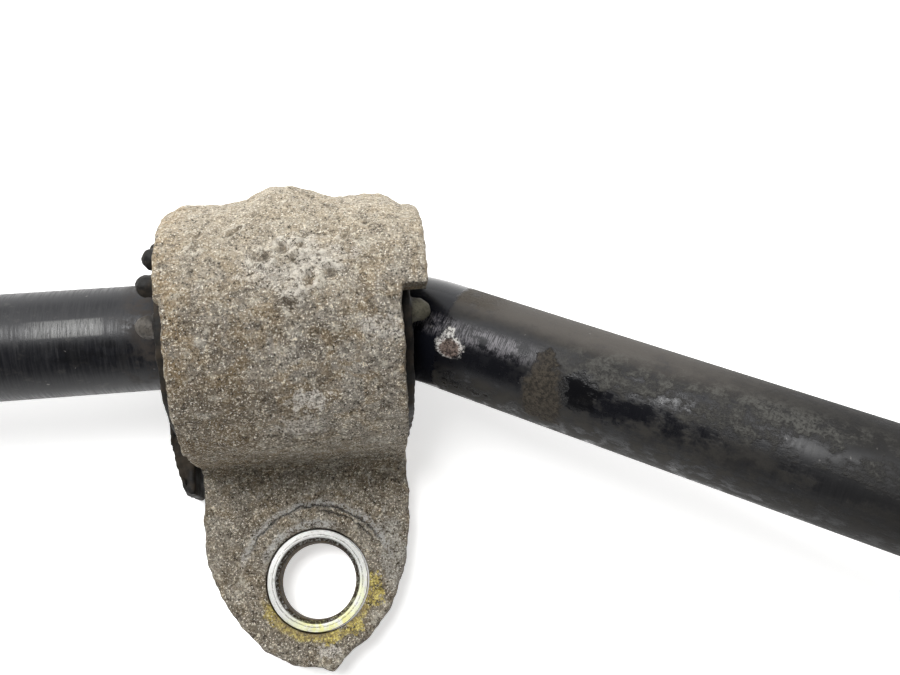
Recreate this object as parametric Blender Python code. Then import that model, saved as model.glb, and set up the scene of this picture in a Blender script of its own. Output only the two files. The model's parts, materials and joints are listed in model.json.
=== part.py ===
"""Automotive sway bar with its two cast brackets, rubber bushings and ball-jointed end links.

Frame: X runs along the bar's straight centre section, +Y points from the arm ends towards the
brackets, +Z is up. The origin is at the middle of the bounding box's base. The right-hand side
(+X) is designed, and the left-hand side is its mirror image.
"""

from math import acos, cos, pi, radians, sin, sqrt, tan

import bmesh
import bpy
from mathutils import Matrix, Vector

MM = 0.001
GAP = 0.3 * MM  # clearance between pieces that touch on the real object

# Bar
BAR_RADIUS = 10.5 * MM
BRACKET_X = 280 * MM
AXIS_HEIGHT = 27.4 * MM
BEND_1_PAST_BRACKET = 22.1 * MM  # where the centre lines of centre section and leg would meet
BEND_1_RADIUS = 30 * MM
LEG_DIRECTION = Vector((0.8139, -0.4610, 0.3535))
LEG_LENGTH = 165 * MM
BEND_2_RADIUS = 40 * MM
ARM_REACH = 290 * MM  # from the bar's axis forward to the eye
BAR_SIDES = 18
EYE_RADIUS = 17.5 * MM
EYE_HALF_THICKNESS = 5 * MM
EYE_EDGE_ROUNDING = 9 * MM  # semi-axis of the ellipse that the eye's flats are cut from
EYE_HOLE_RADIUS = 6.3 * MM
FLATTENING_LENGTH = 45 * MM

# Bracket, in its own frame: the bar's axis is its X axis
DOME_RADIUS = 25 * MM
WALL = 4.6 * MM
CAVITY_RADIUS = DOME_RADIUS - WALL
FRONT_HALF_WIDTH = 21.2 * MM
REAR_INBOARD = -22.5 * MM
REAR_OUTBOARD = 26.2 * MM
EAR_TOP = -17.9 * MM
EAR_START = -30 * MM
EAR_FILLET = 7 * MM
BOLT_CENTRE = Vector((1.2 * MM, -49.2 * MM, 0))
EAR_OUTLINE = [
    (-21.5, -35), (-20.9, -43), (-18.6, -51), (-14.9, -57), (-10.3, -62), (-4.5, -65.3),
    (1.0, -66.4), (4.2, -66.8), (5.6, -64.6), (11.1, -61), (16.2, -55), (19.6, -46.8), (21.3, -38),
]  # millimetres, from the inboard side round the tip
SLEEVE_SEAT_RADIUS = 10.6 * MM
INBOARD_LIP_WIDTH = 3 * MM
OUTBOARD_LIP_WIDTH = 8 * MM
RIB_INBOARD = -3.5 * MM
RIB_OUTBOARD = 6 * MM
RIB_HEIGHT = 3.4 * MM
TONGUE_REACH = 36 * MM
TONGUE_THICKNESS = 7 * MM
TONGUE_HALF_WIDTH = 13 * MM
TONGUE_CHAMFER = 4 * MM

# Bolt sleeve
SLEEVE_RADIUS = 10.3 * MM
SLEEVE_BORE = 7.85 * MM
SLEEVE_CHAMFER = 0.85 * MM
SLEEVE_PROUD = 0.3 * MM

# Bushing
BUSHING_RADIUS = CAVITY_RADIUS - GAP
BUSHING_INBOARD = -23.3 * MM
BUSHING_OUTBOARD = 22.9 * MM
BUSHING_BORE = BAR_RADIUS + GAP
MOUTH_RADIUS = 13.9 * MM
MOUTH_START = 10.5 * MM
INBOARD_MOUTH_RADIUS = BUSHING_BORE + 1.2 * MM
INBOARD_MOUTH_DEPTH = 3 * MM
SLIT_WIDTH = 0.8 * MM
NUB_ORBIT = 16.6 * MM
NUB_RADIUS = 2.5 * MM
NUB_LENGTH = 3.8 * MM
NUB_ANGLES = (-9, 19, 47, 75)  # degrees from the crest towards the rear
SKIRT_TOP = -14 * MM
SKIRT_REACH = 4.2 * MM  # past the bushing's inboard face
SKIRT_TAPERED_REACH = 1.2 * MM
SKIRT_FRONT = -30 * MM
SKIRT_TAPER_START = -19 * MM
SKIRT_REAR = 17 * MM

# End link; distances along the stud are from the ball's centre
LINK_LENGTH = 260 * MM
ROD_RADIUS = 5 * MM
ROD_ROOT_RADIUS = 7.2 * MM
ROD_ROOT_LENGTH = 27 * MM
BALL_RADIUS = 9.2 * MM
SEAT_HOLLOW_RADIUS = BALL_RADIUS + 2 * GAP  # keeps facets apart when the ball turns
SEAT_RADIUS = 12.7 * MM
SEAT_BACK = -9.4 * MM
SEAT_FRONT = 6.5 * MM
SEAT_BACK_HOLE_RADIUS = 4.5 * MM
HOUSING_RADIUS = 17.5 * MM
HOUSING_EDGE = 1 * MM
HOUSING_BACK = -13 * MM
HOUSING_SHOULDER = 4 * MM
HOUSING_NECK_RADIUS = 14 * MM
NOSE = 8.5 * MM
NOSE_INSIDE = 6.9 * MM
NOSE_HOLE_RADIUS = 9.6 * MM
CAP_SEAT = -10 * MM
CAP_SEAT_RADIUS = 14.5 * MM
CAP_THICKNESS = 2.1 * MM
CAP_RIM_HEIGHT = 0.4 * MM
NECK_RADIUS = 5.5 * MM
NECK_END = 13 * MM
SHANK_START = 17 * MM
SHANK_RADIUS = 6.2 * MM
FLANGE_START = 21.3 * MM
FLANGE_END = 25.3 * MM
FLANGE_RADIUS = 12.5 * MM
THREAD_END = 53 * MM
THREAD_RADIUS = 6 * MM
THREAD_CHAMFER = 1 * MM
BOOT_PROFILE = [
    (5.3, 14.3), (5.3, 15.6), (8.8, 15.6), (11, 16.4), (13.5, 15.6), (16, 12), (18.2, 9), (21, 9),
    (21, 6.6), (17.6, 6.8), (15, 10.6), (12.8, 14), (11, 14.8), (9, 14.3),
]  # millimetres: distance along the stud and radius, outside and then inside
LARGE_CLIP = (5.8 * MM, 7.8 * MM, 15.9 * MM, 17.1 * MM)  # two ends, inner and outer radius
SMALL_CLIP = (18.8 * MM, 20.4 * MM, 9.3 * MM, 10.4 * MM)
NUT_HEIGHT = 11 * MM
NUT_ACROSS_FLATS = 18 * MM
NUT_FLANGE_RIM = 1.6 * MM
NUT_FLANGE_HEIGHT = 3.5 * MM
FREE_NUT_GAP = 12 * MM  # between flange and nut on the free stud
SMALL_SIDES = 16  # facets round the end link's small turned pieces

HALF_TURN = Matrix.Rotation(pi, 4, "Z")
MIRROR = Matrix.Diagonal((-1, 1, 1, 1))
BAR_Y = (ARM_REACH + EYE_RADIUS - TONGUE_REACH) / 2
LEG_START = Vector((BRACKET_X + BEND_1_PAST_BRACKET, BAR_Y, AXIS_HEIGHT))
LEG_END = LEG_START + LEG_LENGTH * LEG_DIRECTION.normalized()
EYE = Vector((LEG_END.x, BAR_Y - ARM_REACH, EYE_RADIUS))
BALL_X = EYE.x + EYE_HALF_THICKNESS + GAP + FLANGE_END


# ---------------------------------------------------------------- shape helpers


def bridge(mesh, first, second):
    """A band of four-sided faces between two rings of the same count."""
    count = len(first)
    for i in range(count):
        j = (i + 1) % count
        mesh.faces.new((first[i], first[j], second[j], second[i]))


def turned(profile, sides):
    """Solid of revolution about X from (x, radius) points; a zero radius closes it at a pole."""
    mesh = bmesh.new()
    rings = []
    for x, radius in profile:
        if radius == 0:
            rings.append([mesh.verts.new((x, 0, 0))])
            continue
        angles = [2 * pi * k / sides for k in range(sides)]
        rings.append([mesh.verts.new((x, radius * cos(a), radius * sin(a))) for a in angles])
    closed = profile[0][1] > 0 and profile[-1][1] > 0
    pairs = list(zip(rings, rings[1:]))
    if closed:
        pairs.append((rings[-1], rings[0]))
    for first, second in pairs:
        if len(first) == 1 or len(second) == 1:
            pole, ring = (first[0], second) if len(first) == 1 else (second[0], first)
            for i in range(sides):
                mesh.faces.new((pole, ring[i], ring[(i + 1) % sides]))
        else:
            bridge(mesh, first, second)
    bmesh.ops.recalc_face_normals(mesh, faces=mesh.faces)
    return mesh


def prism(outline, low, high, axis):
    """A flat outline pushed from low to high: (y, z) points along X, or (x, y) points along Z."""
    mesh = bmesh.new()
    bottom, top = (
        [mesh.verts.new((height, a, b) if axis == "X" else (a, b, height)) for a, b in outline]
        for height in (low, high)
    )
    bridge(mesh, bottom, top)
    mesh.faces.new(bottom)
    mesh.faces.new(top)
    bmesh.ops.recalc_face_normals(mesh, faces=mesh.faces)
    return mesh


def arc(centre, radius, start, end, steps):
    """Points from angle start to angle end, in degrees, measured from the first axis."""
    angles = [radians(start + (end - start) * k / steps) for k in range(steps + 1)]
    return [(centre[0] + radius * cos(a), centre[1] + radius * sin(a)) for a in angles]


def moved(mesh, matrix):
    bmesh.ops.transform(mesh, matrix=matrix, verts=mesh.verts)
    if matrix.determinant() < 0:
        bmesh.ops.reverse_faces(mesh, faces=mesh.faces)
    return mesh


def combined(base, steps):
    """The base mesh after Booleans; steps are (operation, mesh) in order."""
    holder = []
    for mesh in [base] + [step[1] for step in steps]:
        data = bpy.data.meshes.new("work")
        mesh.to_mesh(data)
        mesh.free()
        work = bpy.data.objects.new("work", data)
        bpy.context.scene.collection.objects.link(work)
        holder.append(work)
    for (operation, _), cutter in zip(steps, holder[1:]):
        modifier = holder[0].modifiers.new(operation, "BOOLEAN")
        modifier.operation = operation
        modifier.solver = "EXACT"
        modifier.object = cutter
    bpy.context.view_layer.update()
    evaluated = holder[0].evaluated_get(bpy.context.evaluated_depsgraph_get())
    result = bmesh.new()
    result.from_mesh(evaluated.to_mesh())
    evaluated.to_mesh_clear()
    for work in holder:
        bpy.data.meshes.remove(work.data)
    return result


# ---------------------------------------------------------------- materials and placing


def material(name, colour, roughness, metallic):
    made = bpy.data.materials.new(name)
    made.use_nodes = True
    shader = made.node_tree.nodes["Principled BSDF"]
    shader.inputs["Base Color"].default_value = (*colour, 1)
    shader.inputs["Roughness"].default_value = roughness
    shader.inputs["Metallic"].default_value = metallic
    return made


def empty_at(name, place):
    pivot = bpy.data.objects.new(name, None)
    pivot.location = place
    pivot.empty_display_size = 0.02
    bpy.context.scene.collection.objects.link(pivot)
    return pivot


def node(name, mesh, finish, pivot=None, side=1):
    """Links a mesh as a named object; side -1 makes the mirror image of the right-hand piece."""
    copy = mesh.copy()
    if side < 0:
        moved(copy, MIRROR)
    data = bpy.data.meshes.new(name)
    copy.to_mesh(data)
    copy.free()
    data.shade_smooth()
    data.set_sharp_from_angle(angle=radians(32))
    data.materials.append(finish)
    placed = bpy.data.objects.new(name, data)
    placed.parent = pivot
    bpy.context.scene.collection.objects.link(placed)
    return placed


# ---------------------------------------------------------------- bar


def bend_points(corner, before, after, radius, steps):
    """(place, tangent) pairs along the centre line round one bend."""
    angle = acos(before.dot(after))
    inset = radius * tan(angle / 2)
    start = corner - inset * before
    sideways = (after - before * before.dot(after)).normalized()
    found = []
    for k in range(steps + 1):
        a = angle * k / steps
        place = start + radius * (sin(a) * before + (1 - cos(a)) * sideways)
        found.append((place, cos(a) * before + sin(a) * sideways))
    return found


def centre_line():
    """(place, tangent, half thickness, half height) from the middle of the bar to the eye's tip."""
    along = Vector((1, 0, 0))
    leg = LEG_DIRECTION.normalized()
    arm = (EYE - LEG_END).normalized()
    line = [(Vector((0, BAR_Y, AXIS_HEIGHT)), along)]
    line += bend_points(LEG_START, along, leg, BEND_1_RADIUS, 6)
    line += bend_points(LEG_END, leg, arm, BEND_2_RADIUS, 8)
    stations = [(place, tangent, BAR_RADIUS, BAR_RADIUS, BAR_RADIUS) for place, tangent in line]
    flat_start = EYE - (EYE_RADIUS + FLATTENING_LENGTH) * arm
    for share in (0, 0.25, 0.5, 0.75, 1):
        ease = share * share * (3 - 2 * share)
        place = flat_start + share * FLATTENING_LENGTH * arm
        half = BAR_RADIUS + (EYE_HALF_THICKNESS - BAR_RADIUS) * ease
        height = BAR_RADIUS + (EYE_RADIUS - BAR_RADIUS) * ease
        rounding = BAR_RADIUS + (EYE_EDGE_ROUNDING - BAR_RADIUS) * ease
        stations.append((place, arm, half, height, rounding))
    for degrees in (0, 20, 38, 54, 68, 80):
        place = EYE + EYE_RADIUS * sin(radians(degrees)) * arm
        height = EYE_RADIUS * cos(radians(degrees))
        stations.append((place, arm, EYE_HALF_THICKNESS, height, EYE_EDGE_ROUNDING))
    return stations


def bar():
    stations = centre_line()
    thin = Vector((1, 0, 0))
    sections = []
    for place, tangent, half, height, rounding in reversed(stations):
        thin = (thin - tangent * thin.dot(tangent)).normalized()
        tall = tangent.cross(thin)
        section = []
        for k in range(BAR_SIDES):
            angle = 2 * pi * (k + 0.5) / BAR_SIDES
            across = max(-half, min(half, rounding * cos(angle)))
            section.append(place + thin * across + tall * height * sin(angle))
        sections.append(section)
    mirrored = [[MIRROR @ point for point in section] for section in reversed(sections[:-1])]
    mesh = bmesh.new()
    rings = [[mesh.verts.new(p) for p in section] for section in sections + mirrored]
    for first, second in zip(rings, rings[1:]):
        bridge(mesh, first, second)
    mesh.faces.new(rings[0])
    mesh.faces.new(rings[-1])
    bmesh.ops.recalc_face_normals(mesh, faces=mesh.faces)
    drill_reach = 4 * EYE_HALF_THICKNESS
    drills = []
    for side in (1, -1):
        drill = turned(
            [(-drill_reach, 0), (-drill_reach, EYE_HOLE_RADIUS), (drill_reach, EYE_HOLE_RADIUS),
             (drill_reach, 0)],
            24,
        )
        moved(drill, Matrix.Translation((side * EYE.x, EYE.y, EYE.z)))
        drills.append(("DIFFERENCE", drill))
    return combined(mesh, drills)


# ---------------------------------------------------------------- bracket, sleeve and bushing


def bracket():
    base = -AXIS_HEIGHT
    trim = 3 * MM  # every piece runs this far past the mounting face, and is then cut off flat
    sliver = 0.05 * MM  # step that keeps two pieces from sharing a plane
    fillet = (-DOME_RADIUS - EAR_FILLET, EAR_TOP - sliver + EAR_FILLET)
    saddle = [(DOME_RADIUS, base - trim)] + arc((0, 0), DOME_RADIUS, 0, 180, 18)
    saddle += arc(fillet, EAR_FILLET, 0, -90, 4)
    saddle += [(EAR_START - 5 * MM, EAR_TOP - sliver), (EAR_START - 5 * MM, base - trim)]
    lip_radius = DOME_RADIUS - sliver
    lip = [(0, base - 0.9 * trim), (lip_radius, base - 0.9 * trim)]
    lip += arc((0, 0), lip_radius, 0, 90, 9)
    bite = 4 * MM  # how far tongue and rib reach into the saddle's wall
    root = TONGUE_HALF_WIDTH + TONGUE_CHAMFER
    tongue = [
        (-root, DOME_RADIUS - 3 * MM),
        (root, DOME_RADIUS - 3 * MM),
        (TONGUE_HALF_WIDTH, TONGUE_REACH - TONGUE_CHAMFER),
        (TONGUE_HALF_WIDTH - TONGUE_CHAMFER, TONGUE_REACH),
        (TONGUE_CHAMFER - TONGUE_HALF_WIDTH, TONGUE_REACH),
        (-TONGUE_HALF_WIDTH, TONGUE_REACH - TONGUE_CHAMFER),
    ]
    ear_root = FRONT_HALF_WIDTH - 1 * MM
    ear = [(-ear_root, EAR_START)] + [(x * MM, y * MM) for x, y in EAR_OUTLINE]
    ear.append((ear_root, EAR_START))
    rib = [(DOME_RADIUS - bite, 0), (0, DOME_RADIUS - bite)]
    for degrees in range(4, 95, 13):
        swell = DOME_RADIUS - sliver + RIB_HEIGHT * sin(radians(degrees)) ** 2
        rib.append((swell * sin(radians(degrees)), swell * cos(radians(degrees))))
    rib += [(DOME_RADIUS + RIB_HEIGHT, base - 0.8 * trim), (DOME_RADIUS - bite, base - 0.8 * trim)]
    reach = 2 * REAR_OUTBOARD
    cavity = arc((0, 0), CAVITY_RADIUS, 0, 180, 18)
    cavity += [(-CAVITY_RADIUS, base - 2 * trim), (CAVITY_RADIUS, base - 2 * trim)]
    bolt_hole = turned(
        [(-reach, 0), (-reach, SLEEVE_SEAT_RADIUS), (reach, SLEEVE_SEAT_RADIUS), (reach, 0)], 32
    )
    moved(bolt_hole, Matrix.Translation(BOLT_CENTRE) @ Matrix.Rotation(pi / 2, 4, "Y"))
    far = 100 * MM
    below = prism([(-far, -far), (far, -far), (far, far), (-far, far)], base - far, base, "Z")
    return combined(
        prism(saddle, -FRONT_HALF_WIDTH, FRONT_HALF_WIDTH, "X"),
        [
            ("UNION", prism(lip, REAR_INBOARD, REAR_INBOARD + INBOARD_LIP_WIDTH, "X")),
            ("UNION", prism(lip, REAR_OUTBOARD - OUTBOARD_LIP_WIDTH, REAR_OUTBOARD, "X")),
            ("UNION", prism(tongue, base - 0.7 * trim, base + TONGUE_THICKNESS, "Z")),
            ("UNION", prism(ear, base - 0.6 * trim, EAR_TOP, "Z")),
            ("UNION", prism(rib, RIB_INBOARD, RIB_OUTBOARD, "X")),
            ("DIFFERENCE", prism(cavity, -reach, reach, "X")),
            ("DIFFERENCE", bolt_hole),
            ("DIFFERENCE", below),
        ],
    )


def sleeve():
    low = -AXIS_HEIGHT
    high = EAR_TOP + SLEEVE_PROUD
    ring = turned(
        [(low, SLEEVE_BORE), (low, SLEEVE_RADIUS), (high - SLEEVE_PROUD, SLEEVE_RADIUS),
         (high, SLEEVE_RADIUS - SLEEVE_PROUD), (high, SLEEVE_BORE + SLEEVE_CHAMFER),
         (high - SLEEVE_CHAMFER, SLEEVE_BORE)],
        32,
    )
    return moved(ring, Matrix.Translation(BOLT_CENTRE) @ Matrix.Rotation(-pi / 2, 4, "Y"))


def bushing():
    base = -AXIS_HEIGHT + GAP
    outline = arc((0, 0), BUSHING_RADIUS, 0, 180, 16)
    outline += [(-BUSHING_RADIUS, base), (BUSHING_RADIUS, base)]
    body = prism(outline, BUSHING_INBOARD, BUSHING_OUTBOARD, "X")
    skirt = prism(
        [(BUSHING_INBOARD + GAP, SKIRT_FRONT),
         (BUSHING_INBOARD - SKIRT_TAPERED_REACH, SKIRT_FRONT),
         (BUSHING_INBOARD - SKIRT_REACH, SKIRT_TAPER_START),
         (BUSHING_INBOARD - SKIRT_REACH, SKIRT_REAR),
         (BUSHING_INBOARD + GAP, SKIRT_REAR)],
        base, SKIRT_TOP, "Z",
    )
    beyond = 10 * MM
    bore = turned(
        [(BUSHING_INBOARD - beyond, 0), (BUSHING_INBOARD - beyond, INBOARD_MOUTH_RADIUS),
         (BUSHING_INBOARD, INBOARD_MOUTH_RADIUS),
         (BUSHING_INBOARD + INBOARD_MOUTH_DEPTH, BUSHING_BORE),
         (MOUTH_START, BUSHING_BORE), (BUSHING_OUTBOARD, MOUTH_RADIUS),
         (BUSHING_OUTBOARD + beyond, MOUTH_RADIUS), (BUSHING_OUTBOARD + beyond, 0)],
        24,
    )
    reach = 2 * BUSHING_OUTBOARD
    slit = prism(
        [(-SLIT_WIDTH / 2, 0), (-SLIT_WIDTH / 2, -reach), (SLIT_WIDTH / 2, -reach), (SLIT_WIDTH / 2, 0)],
        -reach, reach, "X",
    )
    nubs = []
    for degrees in NUB_ANGLES:
        for face, outward in ((BUSHING_INBOARD, -1), (BUSHING_OUTBOARD, 1)):
            nub = turned(
                [(-1 * MM, 0), (-1 * MM, NUB_RADIUS), (NUB_LENGTH * 0.45, NUB_RADIUS),
                 (NUB_LENGTH * 0.85, NUB_RADIUS * 0.65), (NUB_LENGTH, 0)],
                10,
            )
            angle = radians(degrees)
            spot = Vector((face, NUB_ORBIT * sin(angle), NUB_ORBIT * cos(angle)))
            turn = HALF_TURN if outward < 0 else Matrix.Identity(4)
            nubs.append(("UNION", moved(nub, Matrix.Translation(spot) @ turn)))
    return combined(body, [("UNION", skirt)] + nubs + [("DIFFERENCE", bore), ("DIFFERENCE", slit)])


# ---------------------------------------------------------------- end link, along the stud's axis


def link_rod():
    """Both ball housings and the rod between them; the lower ball's centre is the origin."""
    bore = SEAT_RADIUS + GAP
    cup_profile = [
        (HOUSING_BACK, HOUSING_RADIUS - HOUSING_EDGE),
        (HOUSING_BACK + HOUSING_EDGE, HOUSING_RADIUS),
        (HOUSING_SHOULDER, HOUSING_RADIUS),
        (HOUSING_SHOULDER + HOUSING_EDGE, HOUSING_NECK_RADIUS), (NOSE, HOUSING_NECK_RADIUS),
        (NOSE, NOSE_HOLE_RADIUS), (NOSE_INSIDE, NOSE_HOLE_RADIUS), (NOSE_INSIDE, bore),
        (CAP_SEAT, bore), (CAP_SEAT, CAP_SEAT_RADIUS), (HOUSING_BACK, CAP_SEAT_RADIUS),
    ]
    lower = moved(turned(cup_profile, 20), HALF_TURN)
    far = Matrix.Translation((0, LINK_LENGTH, 0))
    upper = moved(turned(cup_profile, 20), far)
    offset = (HOUSING_BACK + HOUSING_SHOULDER) / 2  # middle of each housing's full width
    span = Vector((2 * offset, LINK_LENGTH, 0))
    inside_wall = (HOUSING_RADIUS + bore) / 2
    rod_end = span.length - inside_wall
    rod_profile = [
        (inside_wall, 0), (inside_wall, ROD_ROOT_RADIUS), (HOUSING_RADIUS, ROD_ROOT_RADIUS),
        (ROD_ROOT_LENGTH, ROD_RADIUS), (span.length - ROD_ROOT_LENGTH, ROD_RADIUS),
        (span.length - HOUSING_RADIUS, ROD_ROOT_RADIUS), (rod_end, ROD_ROOT_RADIUS), (rod_end, 0),
    ]
    lean = span.to_track_quat("X", "Z").to_matrix().to_4x4()
    rod = moved(turned(rod_profile, 12), Matrix.Translation((-offset, 0, 0)) @ lean)
    return combined(lower, [("UNION", rod), ("UNION", upper)])


def ball_stud():
    neck_start = sqrt(BALL_RADIUS**2 - NECK_RADIUS**2)
    profile = [(-BALL_RADIUS, 0)]
    for degrees in range(-60, 41, 25):
        angle = radians(degrees)
        profile.append((BALL_RADIUS * sin(angle), BALL_RADIUS * cos(angle)))
    profile += [
        (neck_start, NECK_RADIUS), (NECK_END, NECK_RADIUS), (SHANK_START, SHANK_RADIUS),
        (FLANGE_START, SHANK_RADIUS), (FLANGE_START, FLANGE_RADIUS), (FLANGE_END, FLANGE_RADIUS),
        (FLANGE_END, THREAD_RADIUS), (THREAD_END - THREAD_CHAMFER, THREAD_RADIUS),
        (THREAD_END, THREAD_RADIUS - THREAD_CHAMFER), (THREAD_END, 0),
    ]
    return turned(profile, SMALL_SIDES)


def ball_seat():
    hollow = SEAT_HOLLOW_RADIUS
    profile = [(SEAT_BACK, SEAT_RADIUS), (SEAT_FRONT, SEAT_RADIUS)]
    for degrees in (38, 12, -14, -38, -60):
        angle = radians(degrees)
        profile.append((hollow * sin(angle), hollow * cos(angle)))
    profile.append((SEAT_BACK, SEAT_BACK_HOLE_RADIUS))
    return turned(profile, SMALL_SIDES)


def housing_cap():
    front = CAP_SEAT - GAP
    back = front - CAP_THICKNESS
    rim = CAP_SEAT_RADIUS - GAP
    profile = [
        (back, 0), (back, rim - 2.2 * MM), (back - CAP_RIM_HEIGHT, rim - 1.2 * MM),
        (back - CAP_RIM_HEIGHT, rim), (front, rim), (front, 0),
    ]
    return turned(profile, SMALL_SIDES)


def boot():
    return turned([(x * MM, radius * MM) for x, radius in BOOT_PROFILE], SMALL_SIDES)


def clip(low, high, inner, outer):
    """A spring clip round a boot, with its outer edges rounded off."""
    edge = 0.35 * (outer - inner)
    return turned(
        [(low, inner), (low, outer - edge), (low + edge, outer), (high - edge, outer),
         (high, outer - edge), (high, inner)],
        SMALL_SIDES,
    )


def flange_nut():
    """Hexagonal nut with a round flange towards the ball; its flange face is at x = 0."""
    half_flats = NUT_ACROSS_FLATS / 2
    flange = turned(
        [(0, 0), (0, FLANGE_RADIUS), (NUT_FLANGE_RIM, FLANGE_RADIUS),
         (NUT_FLANGE_HEIGHT, half_flats + 0.5 * MM), (NUT_FLANGE_HEIGHT, 0)],
        SMALL_SIDES,
    )
    corner = NUT_ACROSS_FLATS / sqrt(3)
    hexagon = [(corner * cos(radians(a)), corner * sin(radians(a))) for a in range(0, 360, 60)]
    hexagonal = prism(hexagon, NUT_FLANGE_RIM / 2, NUT_HEIGHT, "X")
    thread = turned(
        [(-NUT_HEIGHT, 0), (-NUT_HEIGHT, THREAD_RADIUS + GAP),
         (2 * NUT_HEIGHT, THREAD_RADIUS + GAP), (2 * NUT_HEIGHT, 0)],
        SMALL_SIDES,
    )
    return combined(flange, [("UNION", hexagonal), ("DIFFERENCE", thread)])


# ---------------------------------------------------------------- assembly


def clear_scene():
    for old in list(bpy.data.objects):
        bpy.data.objects.remove(old, do_unlink=True)


def main():
    clear_scene()
    paint = material("black_paint", (0.012, 0.013, 0.016), 0.28, 0.0)
    cast = material("cast_aluminium", (0.30, 0.27, 0.22), 0.75, 0.35)
    zinc = material("zinc_steel", (0.74, 0.74, 0.66), 0.35, 1.0)
    rubber = material("bushing_rubber", (0.02, 0.019, 0.017), 0.85, 0.0)
    boot_rubber = material("boot_rubber", (0.015, 0.015, 0.015), 0.7, 0.0)
    coated = material("coated_steel", (0.03, 0.03, 0.032), 0.45, 0.4)
    steel = material("bright_steel", (0.6, 0.6, 0.6), 0.25, 1.0)
    plastic = material("seat_plastic", (0.75, 0.73, 0.66), 0.4, 0.0)

    node("sway_bar", bar(), paint)
    bracket_shape, sleeve_shape, bushing_shape = bracket(), sleeve(), bushing()
    rod_shape, stud_shape, seat_shape = link_rod(), ball_stud(), ball_seat()
    cap_shape, boot_shape, nut_shape = housing_cap(), boot(), flange_nut()
    large_clip, small_clip = clip(*LARGE_CLIP), clip(*SMALL_CLIP)
    across_link = Matrix.Translation((0, LINK_LENGTH, 0))
    clamped_nut = Matrix.Translation((FLANGE_END + 2 * EYE_HALF_THICKNESS + 2 * GAP, 0, 0))
    free_nut = Matrix.Translation((FLANGE_END + FREE_NUT_GAP, 0, 0))

    for side, name in ((1, "right"), (-1, "left")):
        hub = empty_at(f"bracket_pivot_{name}", (side * BRACKET_X, BAR_Y, AXIS_HEIGHT))
        node(f"bracket_{name}", bracket_shape, cast, hub, side)
        node(f"bolt_sleeve_{name}", sleeve_shape, zinc, hub, side)
        node(f"bushing_{name}", bushing_shape, rubber, hub, side)

        ball = empty_at(f"lower_ball_{name}", (side * BALL_X, EYE.y, EYE.z))
        node(f"link_rod_{name}", rod_shape, coated, ball, side)
        far_ball = empty_at(f"upper_ball_{name}", ball.location + Vector((0, LINK_LENGTH, 0)))
        for end, pivot, turn, nut in (
            ("lower", ball, HALF_TURN, clamped_nut),
            ("upper", far_ball, Matrix.Identity(4), free_nut),
        ):
            pieces = (
                ("ball_stud", stud_shape, steel, turn),
                ("ball_seat", seat_shape, plastic, turn),
                ("housing_cap", cap_shape, coated, turn),
                ("boot", boot_shape, boot_rubber, turn),
                ("boot_large_clip", large_clip, steel, turn),
                ("boot_small_clip", small_clip, steel, turn),
                ("flange_nut", nut_shape, zinc, turn @ nut),
            )
            for piece, shape, finish, matrix in pieces:
                placed = moved(shape.copy(), matrix)
                node(f"{end}_{piece}_{name}", placed, finish, pivot, side)
                placed.free()


main()
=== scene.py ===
"""Looks of the sway bar: a painted bar, corroded cast brackets on rubber bushings, and end links."""

import itertools
import json
import math

import bmesh
import bpy
import numpy as np
from mathutils import Matrix, Vector
from mathutils.kdtree import KDTree


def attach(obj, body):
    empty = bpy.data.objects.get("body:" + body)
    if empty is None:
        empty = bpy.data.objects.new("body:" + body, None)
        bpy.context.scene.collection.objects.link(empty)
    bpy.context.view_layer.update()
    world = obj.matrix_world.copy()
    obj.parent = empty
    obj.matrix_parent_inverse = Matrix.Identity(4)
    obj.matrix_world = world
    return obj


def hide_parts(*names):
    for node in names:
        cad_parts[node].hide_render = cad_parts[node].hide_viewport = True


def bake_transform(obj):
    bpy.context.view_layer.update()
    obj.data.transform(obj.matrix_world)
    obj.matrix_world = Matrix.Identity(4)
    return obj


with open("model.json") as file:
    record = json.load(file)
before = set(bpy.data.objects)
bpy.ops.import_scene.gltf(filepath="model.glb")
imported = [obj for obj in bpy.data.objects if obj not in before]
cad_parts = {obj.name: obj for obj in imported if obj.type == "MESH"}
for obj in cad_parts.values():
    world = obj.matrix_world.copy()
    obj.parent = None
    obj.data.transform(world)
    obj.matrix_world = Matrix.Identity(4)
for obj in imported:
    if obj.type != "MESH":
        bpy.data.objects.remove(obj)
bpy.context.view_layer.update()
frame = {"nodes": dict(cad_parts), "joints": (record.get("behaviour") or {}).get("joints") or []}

MM = 0.001
JOINTS = {joint["name"]: joint for joint in frame["joints"]}
SIDES = ((1, "right"), (-1, "left"))

# Sizes in millimetres. A bracket's own frame has the bar's axis as X (outboard +), Y to the rear.
BAR_RADIUS = 10.44
BEND_1_PAST_BRACKET = 22.1
BEND_1_RADIUS = 30.0
LEG_DIRECTION = np.array([0.8139, -0.4610, 0.3535])
LEG_LENGTH = 165.0
BEND_2_RADIUS = 40.0
EYE_RADIUS = 17.5
EYE_HALF_THICKNESS = 5.0
EYE_EDGE_ROUNDING = 9.0
EYE_HOLE_RADIUS = 6.3
FLATTENING_LENGTH = 45.0
EYE_TO_BALL = 30.6
LINK_LENGTH = 260.0
EYE_DRILL_REACH = 15.0

# Ball stud, measured from the ball's centre along the stud
BALL_RADIUS = 9.2
NECK_RADIUS = 5.5
FLANGE_RADIUS = 12.4
FLANGE_TOP = 25.3
THREAD_START = 26.6
THREAD_END = 53.0
THREAD_PITCH = 1.75
THREAD_RADIUS = 5.95
THREAD_DEPTH = 0.9
LOOSE_NUT_GAP = 12.0
CLAMPED_NUT_GAP = 0.6

# Voxel sizes: fine enough for the castings' grain, coarser on the smooth forging
CAST_VOXEL = 0.43
RUBBER_VOXEL = 0.42
FORGED_VOXEL = 0.62
LATTICE = 32

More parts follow.
